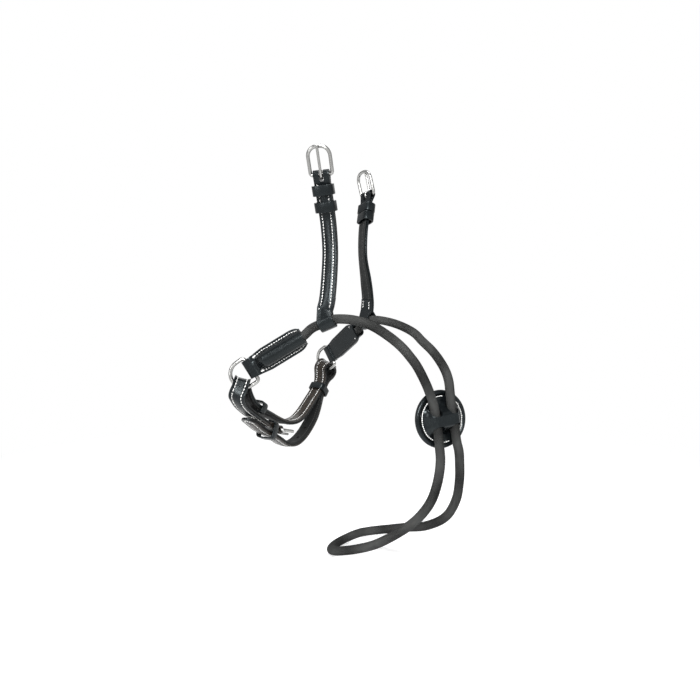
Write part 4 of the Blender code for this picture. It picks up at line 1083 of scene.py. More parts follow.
def leather_grain(nodes, given):
    """Leather's surface: fine pores between soft creases, and slow changes of tone."""
    place = nodes.place()
    cells = {"Vector": place, "Scale": given["Pore Scale"]}
    pores = nodes.add("ShaderNodeTexVoronoi", cells, feature="DISTANCE_TO_EDGE")["Distance"]
    creases = nodes.calc("MULTIPLY", nodes.noise(place, given["Crease Scale"], 3.0), given["Crease Depth"])
    return {
        "Height": nodes.calc("ADD", nodes.spread(pores, 0.0, 0.22), creases),
        "Tone": nodes.spread(nodes.noise(place, 70.0, 4.0), 0.3, 0.7),
        "Polish": nodes.spread(nodes.noise(place, 140.0, 2.0), 0.3, 0.7),
    }


def round_braid(nodes, given):
    """A round braid of two sets of slanting strands, laid along a rope's own length, with a mask for painted
    shade in its gaps.
    """
    split = nodes.add("ShaderNodeSeparateXYZ", {0: nodes.place("UV")})
    around = nodes.calc("MULTIPLY", split["X"], given["Strands"])
    along = nodes.calc("MULTIPLY", split["Y"], given["Turns"])
    slants = [nodes.calc(operation, around, along) for operation in ("ADD", "SUBTRACT")]
    waves = [nodes.calc("SINE", nodes.calc("MULTIPLY", slant, math.tau)) for slant in slants]
    weave = nodes.calc("MULTIPLY", *waves)
    yarns = nodes.calc("MULTIPLY", nodes.calc("MULTIPLY", slants[0], given["Yarns"]), math.tau)
    yarns = nodes.calc("MULTIPLY", nodes.calc("SINE", yarns), 0.12)
    fuzz = nodes.calc("MULTIPLY", nodes.noise(nodes.place(), 900.0, 3.0), 0.5)
    return {
        "Height": nodes.calc("ADD", nodes.calc("ADD", nodes.spread(weave, -1.0, 1.0), yarns), fuzz),
        # Mask for the painted shade between the strands
        "Gap": nodes.spread(weave, -0.9, 0.1),
        "Tone": nodes.noise(nodes.place(), 60.0, 3.0),
    }


def polish_wear(nodes, given):
    """Fine wear on polished steel: cloudy patches crossed by hairline scratches."""
    place = nodes.place()
    turned = {"Vector": place, "Rotation": (0.4, 0.7, 0.2), "Scale": (1.0, 6.0, 0.4)}
    lines = nodes.add("ShaderNodeMapping", turned)["Vector"]
    return {
        "Cloud": nodes.spread(nodes.noise(place, 180.0, 3.0), 0.35, 0.7),
        "Hairline": nodes.noise(lines, given["Scale"], 5.0),
    }


def leather_material(title, deep, wear, rough, relief, browned=None):
    """Dyed leather with a pored grain and unevenly polished high spots."""
    def build(nodes):
        scales = {"Pore Scale": 1500.0, "Crease Scale": 260.0, "Crease Depth": 0.35}
        grain = nodes.group("leather_grain", leather_grain, scales)
        colour = nodes.mix(grain["Tone"], tuple(deep), scaled(deep, wear))
        return {
            "Base Color": browned(nodes, colour) if browned else colour,
            "Roughness": nodes.spread(grain["Polish"], 0.0, 1.0, *rough),
            "Specular Tint": (0.86, 0.97, 1.0),
            "Specular IOR Level": 0.26,
            "Normal": nodes.bump(grain["Height"], relief, 0.0001),
        }
    return new_material(title, build)


def outer_leather():
    settings = bpy.context.scene.noseband_leather
    rough = (settings.roughness - 0.04, settings.roughness + 0.06)
    return leather_material("black_leather", settings.colour, 2.0, rough, 0.12)


def handled_leather():
    """The jaw strap's leather, browner and more openly grained where it is bent and buckled."""
    settings = bpy.context.scene.noseband_leather

    def browned(nodes, plain):
        place = nodes.place()
        split = nodes.add("ShaderNodeSeparateXYZ", {0: place})
        far_end = nodes.spread(split["Y"], -0.02, 0.04)
        point = nodes.spread(split["Z"], -0.099, -0.109)
        patches = nodes.spread(nodes.noise(place, 330.0, 4.0), 0.35, 0.65, 0.35, 1.0)
        handled = nodes.calc("MULTIPLY", nodes.calc("MAXIMUM", far_end, point), patches)
        return nodes.mix(handled, plain, tuple(settings.worn_colour))

    rough = (settings.roughness, settings.roughness + 0.14)
    return leather_material("handled_leather", settings.colour, 2.0, rough, 0.30, browned)


def lining_leather():
    colour = bpy.context.scene.noseband_leather.lining_colour
    return leather_material("lining_leather", colour, 1.8, (0.50, 0.66), 0.30)


def thread_material(title, bright, soiled):
    """Twisted thread, duller where it has been handled."""
    def build(nodes):
        place = nodes.place()
        fibre = nodes.noise(place, 2600.0, 2.0)
        return {
            "Base Color": nodes.mix(nodes.spread(nodes.noise(place, 220.0, 3.0), 0.40, 0.80), bright, soiled),
            "Roughness": nodes.spread(fibre, 0.3, 0.7, 0.55, 0.75),
            "Normal": nodes.bump(fibre, 0.4, 0.0001),
        }
    return new_material(title, build)


def white_thread():
    bright = tuple(bpy.context.scene.noseband_thread.colour)
    return thread_material("white_thread", bright, scaled(bright, 0.72))


def dark_thread():
    return thread_material("dark_thread", (0.020, 0.020, 0.020), (0.045, 0.043, 0.040))


def rope_material(length):
    """Woven yarn, with painted shade that darkens the gaps between its strands."""
    settings = bpy.context.scene.noseband_rope
    colour = tuple(settings.colour)

    def build(nodes):
        counts = {"Strands": 14.0, "Turns": 90.0, "Yarns": 5.0}
        braid = nodes.group("round_braid", round_braid, counts,
                            Strands=settings.strands, Turns=length / settings.pitch)
        cover = nodes.mix(nodes.spread(braid["Tone"], 0.35, 0.65), colour, scaled(colour, 1.35))
        return {
            # Painted shade: the yarn's colour darkened in the gaps between strands
            "Base Color": nodes.mix(braid["Gap"], scaled(colour, 0.22), cover),
            "Roughness": nodes.spread(braid["Tone"], 0.3, 0.7, 0.66, 0.82),
            "Specular IOR Level": 0.02,
            "Normal": nodes.bump(braid["Height"], 0.7, 0.0005),
        }
    return new_material("woven_rope", build)


def steel_material():
    """Polished stainless steel, a little clouded and scratched."""
    settings = bpy.context.scene.noseband_hardware
    clean = tuple(settings.colour)

    def build(nodes):
        wear = nodes.group("polish_wear", polish_wear, {"Scale": 500.0})
        rough = (settings.roughness, settings.roughness + 0.12)
        return {
            "Base Color": nodes.mix(wear["Cloud"], clean, scaled(clean, 0.82)),
            "Roughness": nodes.spread(wear["Cloud"], 0.0, 1.0, *rough),
            "Metallic": 1.0,
            "Normal": nodes.bump(wear["Hairline"], 0.08, 0.0001),
        }
    return new_material("stainless_steel", build)


# Pieces

def make_rope():
    """The woven rope, along its whole route from the near tab round the chin to the far tab."""
    route = smooth_curve(rope_route(), ROPE_POINTS)
    mesh = wire_mesh("rope_woven", route, ROPE_DIAMETER, Matrix.Identity(4), cyclic=False, sides=10)
    add_piece(mesh, rope_material(running_lengths(route)[-1]), "noseband", "rope")


def tab_profile():
    """The moulded face across a tab at full height: a rounded hump with a small fillet at its foot."""
    radius = ROPE_DIAMETER / 2 + LOOP_CLEARANCE + TAB_THICKNESS / 2
    foot = [(radius + beside, TAB_FLAT_LEVEL + rise) for beside, rise in TAB_FILLET]
    over = arc_points((0.0, TAB_ROPE_LEVEL), radius, 0, 180, 15)
    return foot + over + [(-across, height) for across, height in reversed(foot)]


def tab_level(along):
    """Height of a tab's flat layers at a distance from its ring's bar."""
    rise = TAB_FOLD_RADIUS - TAB_FLAT_LEVEL
    return TAB_FLAT_LEVEL + rise * eased_fall(along, TAB_LOOP_LENGTH, TAB_LOOP_END - TAB_LOOP_LENGTH)


def tab_row(crown, along):
    """Points across a tab's moulded face at a distance from its ring's bar."""
    half = tab_half_width(along)
    level = tab_level(along)
    nose = min(max((along - TAB_NOSE) / (TAB_NOSE_END - TAB_NOSE), 0.0), 1.0)
    narrow = half / (TAB_WIDTH / 2) if along < TAB_LENGTH / 2 else 1.0
    narrow *= 0.70 + 0.30 * math.sin(math.radians(90 * nose))
    foot = crown[0][0] * narrow
    edge = max(half, foot)
    row = [(edge + (foot - edge) * share, level, along) for share in (0.0, 0.3, 0.65)]
    row += [(across * narrow, level + (rise - TAB_FLAT_LEVEL) * ease(nose), along) for across, rise in crown]
    return row + [(-across, height, spot) for across, height, spot in reversed(row[:3])]


def tab_mesh(name):
    """A folded leather tab, from its mouth over the rope's end, round the ring's bar and back."""
    stations = [TAB_LENGTH * (1 - share) for share in TAB_MOUTH_SHARES]
    stations += [TAB_LENGTH * share for share in TAB_BODY_SHARES]
    stations += [TAB_RISE_END - (TAB_RISE_END - TAB_NOSE) * step / 18 for step in range(19)]
    stations += [TAB_NOSE - (TAB_NOSE - TAB_LOOP_LENGTH) * step / 2 for step in (1, 2)]
    stations += [TAB_LOOP_LENGTH * 2 / 3, TAB_LOOP_LENGTH / 3]
    crown = tab_profile()
    rows = [tab_row(crown, along) for along in stations]
    widest = rows[TAB_WIDEST_ROW]
    shares = [spot[0] / widest[0][0] for spot in widest]
    for along, out in arc_points((0.0, 0.0), TAB_FOLD_RADIUS, 99, 261, 18):
        rows.append([(share * tab_half_width(0.0), out, along) for share in shares])
    for along in reversed(stations):
        rows.append([(share * tab_half_width(along), -tab_level(along), along) for share in shares])
    return bridged_sheet(name, rows)


def make_tab(name, side):
    """One end tab with its wall thickness, rounded edges and stitching."""
    place = tab_frame(side)
    mesh = thickened(tab_mesh(f"{name}_tab_leather"), TAB_THICKNESS, EDGE_ROUND)
    mesh.transform(place)
    add_piece(mesh, outer_leather(), "noseband", f"{name}_end_tab")
    front = tab_stitches(place, 1.0, name == "far")
    add_thread(f"{name}_tab_stitching", front, white_thread(), "noseband")
    back = tab_stitches(place, -1.0)
    add_thread(f"{name}_tab_under_thread", back, dark_thread(), "noseband")


def tab_stitches(place, face, tacks_behind=False):
    """Rows along both flanges of a tab's moulded face or flat back, and its bar tacks."""
    start, end = TAB_LOOP_END - TAB_STITCH_START, TAB_LENGTH - TAB_STITCH_STOP
    count = round((end - start) / bpy.context.scene.noseband_thread.pitch)
    spots = [start + (end - start) * step / count for step in range(count + 1)]
    bm = bmesh.new()

    def seat(spot, hand, shift=0.0):
        across = hand * (tab_half_width(spot) - TAB_STITCH_INSET + shift)
        return (across, face * (tab_level(spot) + TAB_THICKNESS / 2), spot)

    def row(spots, out):
        normal = (place.to_3x3() @ Vector((0.0, out, 0.0))).normalized()
        stitch_row(bm, [place @ Vector(spot) for spot in spots], normal)

    for hand in (-1.0, 1.0):
        row([seat(spot, hand) for spot in spots], face)
        if tacks_behind:
            across, level, spot = seat(end, hand)
            row([(across, -level, spot - 0.0022), (across, -level, spot + 0.0010)], -1.0)
        if face > 0:
            for shift in (-0.0010, 0.0, 0.0010):
                row([seat(start + shift, hand, -0.0016), seat(start + shift, hand, 0.0012)], face)
            row([seat(end, hand, -0.0012), seat(end + 0.0004, hand, 0.0012)], face)
    return bm


def make_ring(name, side):
    mesh = wire_mesh(f"{name}_ring_wire", ring_outline(), RING_WIRE, ring_frame(side))
    add_piece(mesh, steel_material(), f"{name}_ring", f"{name}_ring")


def slot_box(place):
    """The cutter for the slot that lets a tongue's eye through a strap's fold."""
    width = TONGUE_WIRE + 2 * TONGUE_SLOT_GAP
    reach = FOLD_RADIUS + STRAP_THICKNESS
    bm = bmesh.new()
    bmesh.ops.create_cube(bm, size=1.0)
    bmesh.ops.scale(bm, vec=(width, reach * 3, SLOT_FOOT + reach), verts=bm.verts[:])
    bmesh.ops.translate(bm, vec=(0.0, 0.0, (reach - SLOT_FOOT) / 2), verts=bm.verts[:])
    upright = [edge for edge in bm.edges if abs(edge.verts[0].co.y - edge.verts[1].co.y) > reach]
    round_edges(bm, upright, width * 0.42, 5)
    bmesh.ops.transform(bm, matrix=place, verts=bm.verts[:])
    return clean_mesh(bm, "tongue_slot")


def make_cheek(name, side):
    """A cheek strap: raised leather round its loop and bar, lining, stitching, keepers and buckle."""
    line, top = cheek_line(side)
    body = f"{name}_cheek"
    bar = crown_bar(line, top, side)

    def raised(outward, place):
        if outward < 0:
            return 0.0
        foot = 1 - eased_fall(place, LOOP_NECK, RAISE_END)
        return STRAP_RAISE * foot * eased_fall(place, top - TURNED_TOP * 0.62, RAISE_END)

    mesh = layer(f"{name}_cheek_leather", line, cheek_path(line, top), lambda place: STRAP_WIDTH, raised)
    add_piece(carve(mesh, [slot_box(bar)]), outer_leather(), body, f"{name}_cheek_strap")
    back = backing(f"{name}_cheek_backing", line, TURNED_END + SEAT_GAP, top - TURNED_TOP - SEAT_GAP)
    add_piece(back, lining_leather(), body, f"{name}_cheek_lining")
    make_cheek_stitches(name, line, top)
    low = (-KEEPER_HALF, -STRAP_FACE - KEEPER_FACE_GAP)
    high = (KEEPER_HALF, STRAP_FACE + STRAP_RAISE + STRAP_ROOM)
    for kind, holder in (("fixed", body), ("running", f"{name}_running_keeper")):
        place = line.matrix(side[f"{kind}_keeper"] * top)
        mesh = keeper_mesh(f"{name}_{kind}_loop", place, low, high, KEEPER_LENGTH, CHEEK_KEEPER_ROUNDS)
        add_piece(mesh, outer_leather(), holder, f"{name}_{kind}_keeper")
    make_buckle(f"{name}_crown_buckle", f"{name}_crown", bar)


def make_cheek_stitches(name, line, top):
    """White rows down a cheek strap's face, tacks at both its folds, and dark rows on its lining."""
    bm = bmesh.new()
    under = bmesh.new()
    for across in (-STITCH_ROW, STITCH_ROW):
        strap_row(bm, line, across, STRAP_FACE - STITCH_SINK, LOOP_NECK * 1.22, top - TURNED_TOP * 0.56)
        strap_row(bm, line, across * 1.12, STRAP_FACE, LOOP_NECK * 0.62, LOOP_NECK * 1.05)
        strap_row(bm, line, across, -STRAP_FACE, LOOP_NECK * 1.2, TURNED_END * 0.94)
        strap_row(under, line, across, LINING_BACK, TURNED_END, top - TURNED_TOP)
    outward = line.frame(top - BAR_NECK)[2]
    for tack, face in (
        (((-1.25, 1.02), (-0.5, 1.42)), 1),
        (((0.5, 1.34), (1.25, 0.94)), 1),
        (((-0.62, 1.25), (0.62, 1.25)), -1),
    ):
        ends = [
            line.bend(share * STITCH_ROW, STRAP_FACE * face, top - BAR_NECK * drop)
            for share, drop in tack
        ]
        stitch(bm, *ends, outward * face)
    add_thread(f"{name}_cheek_stitching", bm, white_thread(), f"{name}_cheek")
    add_thread(f"{name}_cheek_under_thread", under, dark_thread(), f"{name}_cheek")


def keeper_outline(low, high, rounds, wall):
    """A keeper's outline, with rounder corners on its face than on its back, and a slightly bowed face."""
    spots = []
    back, front = rounds
    for across, outward, start in ((1, 1, 0), (-1, 1, 90), (-1, -1, 180), (1, -1, 270)):
        radius = (front if outward > 0 else back) + wall
        middle = across * (high[0] + wall - radius)
        height = high[1] + wall - radius if outward > 0 else low[1] - wall + radius
        spots += arc_points((middle, height), radius, start, start + 90, 8)
        if start in (0, 180):
            level = spots[-1][1]
            for share in (0.75, 0.5, 0.25):
                bow = KEEPER_BOW * 4 * share * (1 - share) if outward > 0 else 0.0
                spots.append((middle * (share * 2 - 1), level + bow))
    return spots


def keeper_mesh(name, place, low, high, length, rounds):
    """A leather loop with a clear space from low to high, its rims rounded, with its place in its mesh."""
    bm = bmesh.new()
    edges = []
    for wall in (KEEPER_THICKNESS, 0.0):
        outline = keeper_outline(low, high, rounds, wall)
        ring = [bm.verts.new((across, outward, -length / 2)) for across, outward in outline]
        edges += [bm.edges.new((start, end)) for start, end in zip(ring, ring[1:] + ring[:1])]
    bmesh.ops.bridge_loops(bm, edges=edges)
    raise_faces(bm, length)
    bmesh.ops.recalc_face_normals(bm, faces=bm.faces[:])
    sharp = math.radians(SOFT_EDGE)
    rims = [edge for edge in bm.edges if edge.is_manifold and edge.calc_face_angle() > sharp]
    round_edges(bm, rims, EDGE_ROUND, 3)
    bmesh.ops.transform(bm, matrix=place, verts=bm.verts[:])
    return clean_mesh(bm, name, SOFT_EDGE)


def make_buckle(prefix, body, place):
    """A wire frame and its tongue."""
    mesh = wire_mesh(f"{prefix}_wire", buckle_outline(), BUCKLE_WIRE, place)
    add_piece(mesh, steel_material(), f"{body}_frame", f"{prefix}_frame")
    mesh = wire_mesh(f"{prefix}_pin", tongue_outline(), TONGUE_WIRE, place, cyclic=False, sides=6)
    add_piece(mesh, steel_material(), f"{body}_tongue", f"{prefix}_tongue")


def cover_height(across, along):
    """Height of the dressed disc: one dome over both ropes, which falls to the flat leather at the rim."""
    beyond = abs(across) - DISC_ROPE_SPACING / 2
    wide = eased_fall(beyond, BRIDGE_LEVEL * 0.15, BRIDGE_LEVEL * 1.6)
    long = eased_fall(abs(along), BRIDGE_WIDTH * 0.32, BRIDGE_WIDTH * 0.2 + BRIDGE_FALL * 1.15)
    over_rope = math.sqrt(ROPE_COVER ** 2 - max(beyond, 0.0) ** 2) if beyond < ROPE_COVER else DISC_LEVEL
    crown = max(DISC_LEVEL + (BRIDGE_LEVEL - DISC_LEVEL) * wide, over_rope)
    edge = 1 - eased_fall(math.hypot(across, along), DISC_LIFT_START, DISC_LIFT_REACH)
    return DISC_LEVEL + (crown - DISC_LEVEL) * long + DISC_EDGE_LIFT * edge


def grid_lines(*stops):
    """Grid places from (place, count) stops, mirrored about the middle."""
    half = [0.0]
    for place, count in stops:
        start = half[-1]
        half += [start + (place - start) * (step + 1) / count for step in range(count)]
    return [-place for place in reversed(half[1:])] + half


def disc_slot(across, along, half):
    """The cutter for a round-ended slot through the disc's leather beside its bridge."""
    radius = half * 0.72
    start = BRIDGE_WIDTH / 2 - half * 0.35 + radius
    end = BRIDGE_WIDTH / 2 + BRIDGE_FALL + 0.0005 - radius
    left = across - half + radius
    right = across + half - radius
    bottom = DISC_LEVEL - DISC_LEATHER
    outline = []
    for x, y, turn in ((right, end, 0), (left, end, 90), (left, start, 180), (right, start, 270)):
        outline += arc_points((x, y), radius, turn, turn + 90, 8)
    bm = bmesh.new()
    bm.faces.new([bm.verts.new((x, y * along, bottom)) for x, y in outline])
    raise_faces(bm, BRIDGE_LEVEL - bottom + DISC_LEATHER * 2)
    return clean_mesh(bm, "disc_slot")


def make_disc_cover(place):
    """The disc's leather, raised in one bridge over both ropes and slotted on both sides of it."""
    radius = DISC_DIAMETER / 2 - DISC_RIM - SEAT_GAP
    side = DISC_ROPE_SPACING / 2
    half = ROPE_DIAMETER / 2 + SLOT_GAP
    lines_across = grid_lines((side - half, 7), (side + half, 16), (radius * 1.1, 12))
    lines_along = grid_lines((BRIDGE_WIDTH / 2, 8), (BRIDGE_WIDTH / 2 + BRIDGE_FALL, 14), (radius * 1.1, 8))
    rows = [[(x, y, cover_height(x, y)) for x in lines_across] for y in lines_along]
    mesh = thickened(bridged_sheet("nose_disc_cover", rows), DISC_LEATHER)
    trimmer = round_cutter("disc_trimmer", radius, DISC_DIAMETER, DISC_FACETS, Matrix.Identity(4))
    mesh = carve(mesh, [trimmer], "INTERSECT")
    mesh = carve(mesh, [disc_slot(across, along, half) for across in (-side, side) for along in (-1, 1)])
    mesh.transform(place)
    add_piece(mesh, outer_leather(), "nose_disc", "nose_disc_leather")


def turned_mesh(name, bm, steps, place):
    """Turns a profile right round the disc's axis."""
    bmesh.ops.spin(bm, geom=bm.verts[:] + bm.edges[:], cent=(0, 0, 0), axis=(0, 0, 1), angle=math.tau,
                   steps=steps, use_merge=True)
    bmesh.ops.transform(bm, matrix=place, verts=bm.verts[:])
    return clean_mesh(bm, name)


def make_disc_rim(place):
    """The rolled rim: a round cord of leather, turned right round the disc."""
    bm = bmesh.new()
    middle = Vector((DISC_DIAMETER / 2 - DISC_RIM / 2, 0.0, RIM_LEVEL))
    circle = Matrix.Translation(middle) @ Matrix.Rotation(math.radians(90), 4, "X")
    bmesh.ops.create_circle(bm, cap_ends=False, segments=24, radius=DISC_RIM / 2, matrix=circle)
    mesh = turned_mesh("nose_disc_roll", bm, DISC_FACETS, place)
    add_piece(mesh, outer_leather(), "nose_disc", "nose_disc_rim")


def make_disc_pad(place):
    """The padded back, turned from a profile that swells towards its middle and is pinched at its edge."""
    radius = DISC_DIAMETER / 2 - DISC_RIM + SEAT_GAP
    top = DISC_LEVEL - DISC_LEATHER / 2 - SEAT_GAP
    profile = [(0.0, top), (radius * 0.5, top), (radius * 0.96, top), (radius, top - DISC_PAD * 0.08)]
    profile += [(radius, top - DISC_PAD * 0.28)]
    for step in range(1, 14):
        angle = math.radians(90 * step / 14)
        swell = DISC_PAD * 0.35 + DISC_PAD * 0.65 * math.sin(angle)
        profile.append((radius * math.cos(angle), top - swell))
    profile.append((0.0, top - DISC_PAD))
    bm = bmesh.new()
    ring = [bm.verts.new((across, 0.0, out)) for across, out in profile]
    for pair in zip(ring, ring[1:]):
        bm.edges.new(pair)
    mesh = turned_mesh("nose_disc_padding", bm, 96, place)
    pad = add_piece(mesh, lining_leather(), "nose_disc", "nose_disc_pad")


def make_disc_stitches(place):
    """A close ring of stitches just inside the rim, broken where the ropes pass."""
    reach = DISC_DIAMETER / 2 - DISC_RIM - DISC_STITCH_INSET
    bm = bmesh.new()
    for step in range(DISC_STITCHES):
        spots = []
        for turn in (step + 0.02, step + 0.98):
            angle = math.tau * turn / DISC_STITCHES
            across, along = reach * math.cos(angle), reach * math.sin(angle)
            height = cover_height(across, along)
            slope_across = (cover_height(across + SLOPE_STEP, along) - height) / SLOPE_STEP
            slope_along = (cover_height(across, along + SLOPE_STEP) - height) / SLOPE_STEP
            normal = Vector((-slope_across, -slope_along, 1.0)).normalized()
            spots.append(Vector((across, along, height)) + normal * (DISC_LEATHER / 2 + DISC_STITCH_LIFT))
        middle = (spots[0] + spots[1]) / 2
        beside_rope = abs(abs(middle.x) - DISC_ROPE_SPACING / 2)
        if beside_rope >= ROPE_DIAMETER / 2 or abs(middle.y) <= DISC_ROPE_REACH:
            stitch(bm, *[place @ spot for spot in spots], place.col[2].to_3d(), DISC_STITCH_PLUMP)
    add_thread("nose_disc_stitching", bm, white_thread(), "nose_disc")


def make_jaw_strap():
    """The jaw strap through both rings: leather, lining, punched point, stitching, buckle and keepers."""
    line = jaw_line()
    end = line.length
    bar = jaw_bar(line)
    path = [(-LAYER_OFFSET, place) for place in line.stretch(JAW_BUCKLE_CHAPE, BAR_NECK)]
    path += wrap_end(0.0, FOLD_RADIUS, BAR_NECK, True)
    path += [(LAYER_OFFSET, place) for place in line.stretch(BAR_NECK, end - BILLET_POINT)[:-1]]
    path += [(LAYER_OFFSET, end - BILLET_POINT * share) for share in POINT_SHARES]

    def width_at(place):
        share = max(1 - max(end - place, 0.0) / BILLET_POINT, 0.0)
        return STRAP_WIDTH * max(math.sqrt(max(1 - share * share, 0.0)), POINT_BLUNT)

    def raised(outward, place):
        if outward < 0:
            return 0.0
        foot = 1 - eased_fall(place, BAR_NECK * 2, RAISE_END)
        return STRAP_RAISE * foot * eased_fall(place, end - 0.014, RAISE_END)

    mesh = carve(layer("jaw_strap_face", line, path, width_at, raised), [slot_box(bar), *billet_holes(line)])
    back = backing("jaw_strap_backing", line, JAW_BUCKLE_CHAPE + SEAT_GAP, end - BILLET_POINT)
    add_piece(mesh, handled_leather(), "jaw_strap", "jaw_strap_leather")
    add_piece(carve(back, billet_holes(line)), lining_leather(), "jaw_strap", "jaw_strap_lining")
    make_jaw_stitches(line)
    make_buckle("jaw_buckle", "jaw", bar)
    make_jaw_keepers(line)


def jaw_bar(line):
    """Where the jaw buckle's bar lies, and which way its frame stands in the strap's fold."""
    aim = JAW_BUCKLE_AIM.normalized()
    point, across, outward, _ = line.frame(0.0)
    face = aim.cross(across).normalized()
    if face.dot(outward) < 0:
        face = -face
    return axes(point, face.cross(aim), face, aim)


def billet_holes(line):
    """The cutters for the punched holes in the strap's point."""
    cutters = []
    for index in range(BILLET_HOLES):
        spot = line.matrix(line.length - BILLET_FIRST_HOLE - BILLET_HOLE_PITCH * index)
        upright = spot @ Matrix.Rotation(math.radians(90), 4, "X")
        cutters.append(round_cutter("billet_hole", BILLET_HOLE / 2, STRAP_THICKNESS * 5, 28, upright))
    return cutters


def make_jaw_stitches(line):
    """White rows along the jaw strap's face and round its point, and dark rows on its lining."""
    stop = line.length - BILLET_POINT * 1.1
    bm = bmesh.new()
    under = bmesh.new()
    for across in (-STITCH_ROW, STITCH_ROW):
        strap_row(bm, line, across, STRAP_FACE - STITCH_SINK, BAR_NECK * 1.3, stop)
        strap_row(bm, line, across, -STRAP_FACE, BAR_NECK * 1.2, JAW_BUCKLE_CHAPE * 0.94)
        strap_row(under, line, across, LINING_BACK, JAW_BUCKLE_CHAPE, stop)
    for face in (1.0, -1.0):
        arc = [line.bend(STITCH_ROW * math.cos(angle), STRAP_FACE * face, stop + 0.0060 * math.sin(angle))
               for angle in (math.radians(180 * step / 6) for step in range(7))]
        stitch_row(bm, arc, line.frame(stop)[2] * face)
    add_thread("jaw_strap_stitching", bm, white_thread(), "jaw_strap")
    add_thread("jaw_strap_under_thread", under, dark_thread(), "jaw_strap")


def make_jaw_keepers(line):
    """The keeper that holds the point, the one that runs on the line and the one round both strands."""
    raised_face = STRAP_FACE + STRAP_RAISE
    tight = KEEPER_FACE_GAP + STRAND_SLACK
    places = [line.nearest(spot) for spot in (POINT_KEEPER_SPOT, LINE_KEEPER_SPOT, FAR_KEEPER_SPOT)]
    point_side = strand_height(line, places[0], 0.1) + raised_face + tight
    strand_side = strand_height(line, places[2], 0.05) - raised_face - tight
    rooms = (
        ("point_keeper", "jaw_strap", -STRAP_FACE - KEEPER_FACE_GAP, point_side),
        ("line_keeper", "line_keeper", LINING_BACK - KEEPER_FACE_GAP, raised_face + LINE_KEEPER_ROOM),
        ("far_keeper", "far_keeper", strand_side, raised_face + KEEPER_FACE_GAP),
    )
    for (name, body, low, high), place in zip(rooms, places):
        corners = (-KEEPER_HALF, low), (KEEPER_HALF, high)
        mesh = keeper_mesh(f"{name}_loop", line.matrix(place), *corners, JAW_KEEPER_LENGTH, JAW_KEEPER_ROUNDS)
        add_piece(mesh, outer_leather(), body, name)


# Stage

def seen_white(nodes, white, lit):
    """A strength that is white to the camera, to clear surfaces and to shiny ones, and plain to the rest."""
    path = nodes.add("ShaderNodeLightPath", {})
    seen = nodes.calc("MAXIMUM", path["Is Camera Ray"], path["Is Transmission Ray"])
    seen = nodes.calc("MAXIMUM", seen, path["Is Glossy Ray"])
    return nodes.mix_values(seen, lit, white), path["Is Glossy Ray"]


def make_world():
    """A white room, in which metal and polished leather mirror the backdrop and its softly shaded panels."""
    world = bpy.data.worlds.new("studio")
    world.use_nodes = True
    bpy.context.scene.world = world
    settings = bpy.context.scene.noseband_stage
    nodes = Nodes(world.node_tree)
    strength, glossy = seen_white(nodes, settings.backdrop, settings.fill)
    panels = nodes.noise(nodes.place("Generated"), 1.7, 0.0)
    mirrored = nodes.mix_values(glossy, 1.0, nodes.spread(panels, 0.47, 0.60, 1.0 - settings.shading, 1.0))
    background = world.node_tree.nodes["Background"]
    nodes.feed(background.inputs["Color"], (1.0, 1.0, 1.0))
    nodes.feed(background.inputs["Strength"], nodes.calc("MULTIPLY", strength, mirrored))


def pale_floor(nodes):
    """A floor that takes a soft shadow near the noseband and fades into the white backdrop."""
    flat = nodes.add("ShaderNodeMapping", {"Vector": nodes.place(), "Scale": (1.0, 1.0, 0.0)})["Vector"]
    reach = nodes.add("ShaderNodeVectorMath", {0: flat}, operation="LENGTH")["Value"]
    far = nodes.spread(reach, *FLOOR_FADE)
    seen = seen_white(nodes, 1.0, 0.0)[0]
    return {
        "Base Color": nodes.mix(far, (0.80, 0.80, 0.80), (0.0, 0.0, 0.0)),
        "Roughness": 1.0,
        "Specular IOR Level": 0.0,
        "Emission Color": (1.0, 1.0, 1.0),
        "Emission Strength": nodes.calc("MULTIPLY", seen, nodes.spread(far, 0.0, 1.0, 0.56, 1.0)),
    }


def make_floor():
    """A plain pale floor under the noseband."""
    bm = bmesh.new()
    bmesh.ops.create_grid(bm, x_segments=2, y_segments=2, size=FLOOR_SIZE)
    bmesh.ops.translate(bm, vec=(0.0, 0.0, FLOOR_LEVEL), verts=bm.verts[:])
    mesh = bpy.data.meshes.new("floor")
    bm.to_mesh(mesh)
    bm.free()
    mesh.materials.append(new_material("pale_floor", pale_floor))
    linked("floor", mesh)


def make_lamps():
    power = bpy.context.scene.noseband_stage.light
    for name, place, size, share in LAMPS:
        lamp = bpy.data.lights.new(name, "AREA")
        lamp.shape = "RECTANGLE"
        lamp.size, lamp.size_y = size
        lamp.energy = power * share
        item = linked(name, lamp)
        item.location = place
        item.rotation_euler = (LAMP_AIM - Vector(place)).to_track_quat("-Z", "Y").to_euler()


def make_camera():
    settings = bpy.context.scene.noseband_stage
    camera = bpy.data.cameras.new("camera")
    camera.sensor_width = 36.0
    camera.lens = settings.lens
    turn, tilt = settings.azimuth, settings.elevation
    right = Vector((math.cos(turn), math.sin(turn), 0.0))
    back = Vector((math.sin(turn) * math.cos(tilt), -math.cos(turn) * math.cos(tilt), math.sin(tilt)))
    item = linked("camera", camera)
    item.matrix_world = axes(Vector(settings.camera_place), right, back.cross(right), back)
    bpy.context.scene.camera = item


# Settings, one operator for each group of pieces, and their panel

class RopeSettings(bpy.types.PropertyGroup):
    strands: IntProperty(name="Strands", description="Strands of each slant round the rope", default=8, min=4)
    pitch: FloatProperty(name="Strand Pitch", description="Length of rope in which the pattern repeats",
                         default=0.0030, min=0.001, unit="LENGTH")
    colour: FloatVectorProperty(name="Colour", description="Colour of the rope's yarn", subtype="COLOR",
                                default=(0.054, 0.055, 0.054), min=0.0, max=1.0)


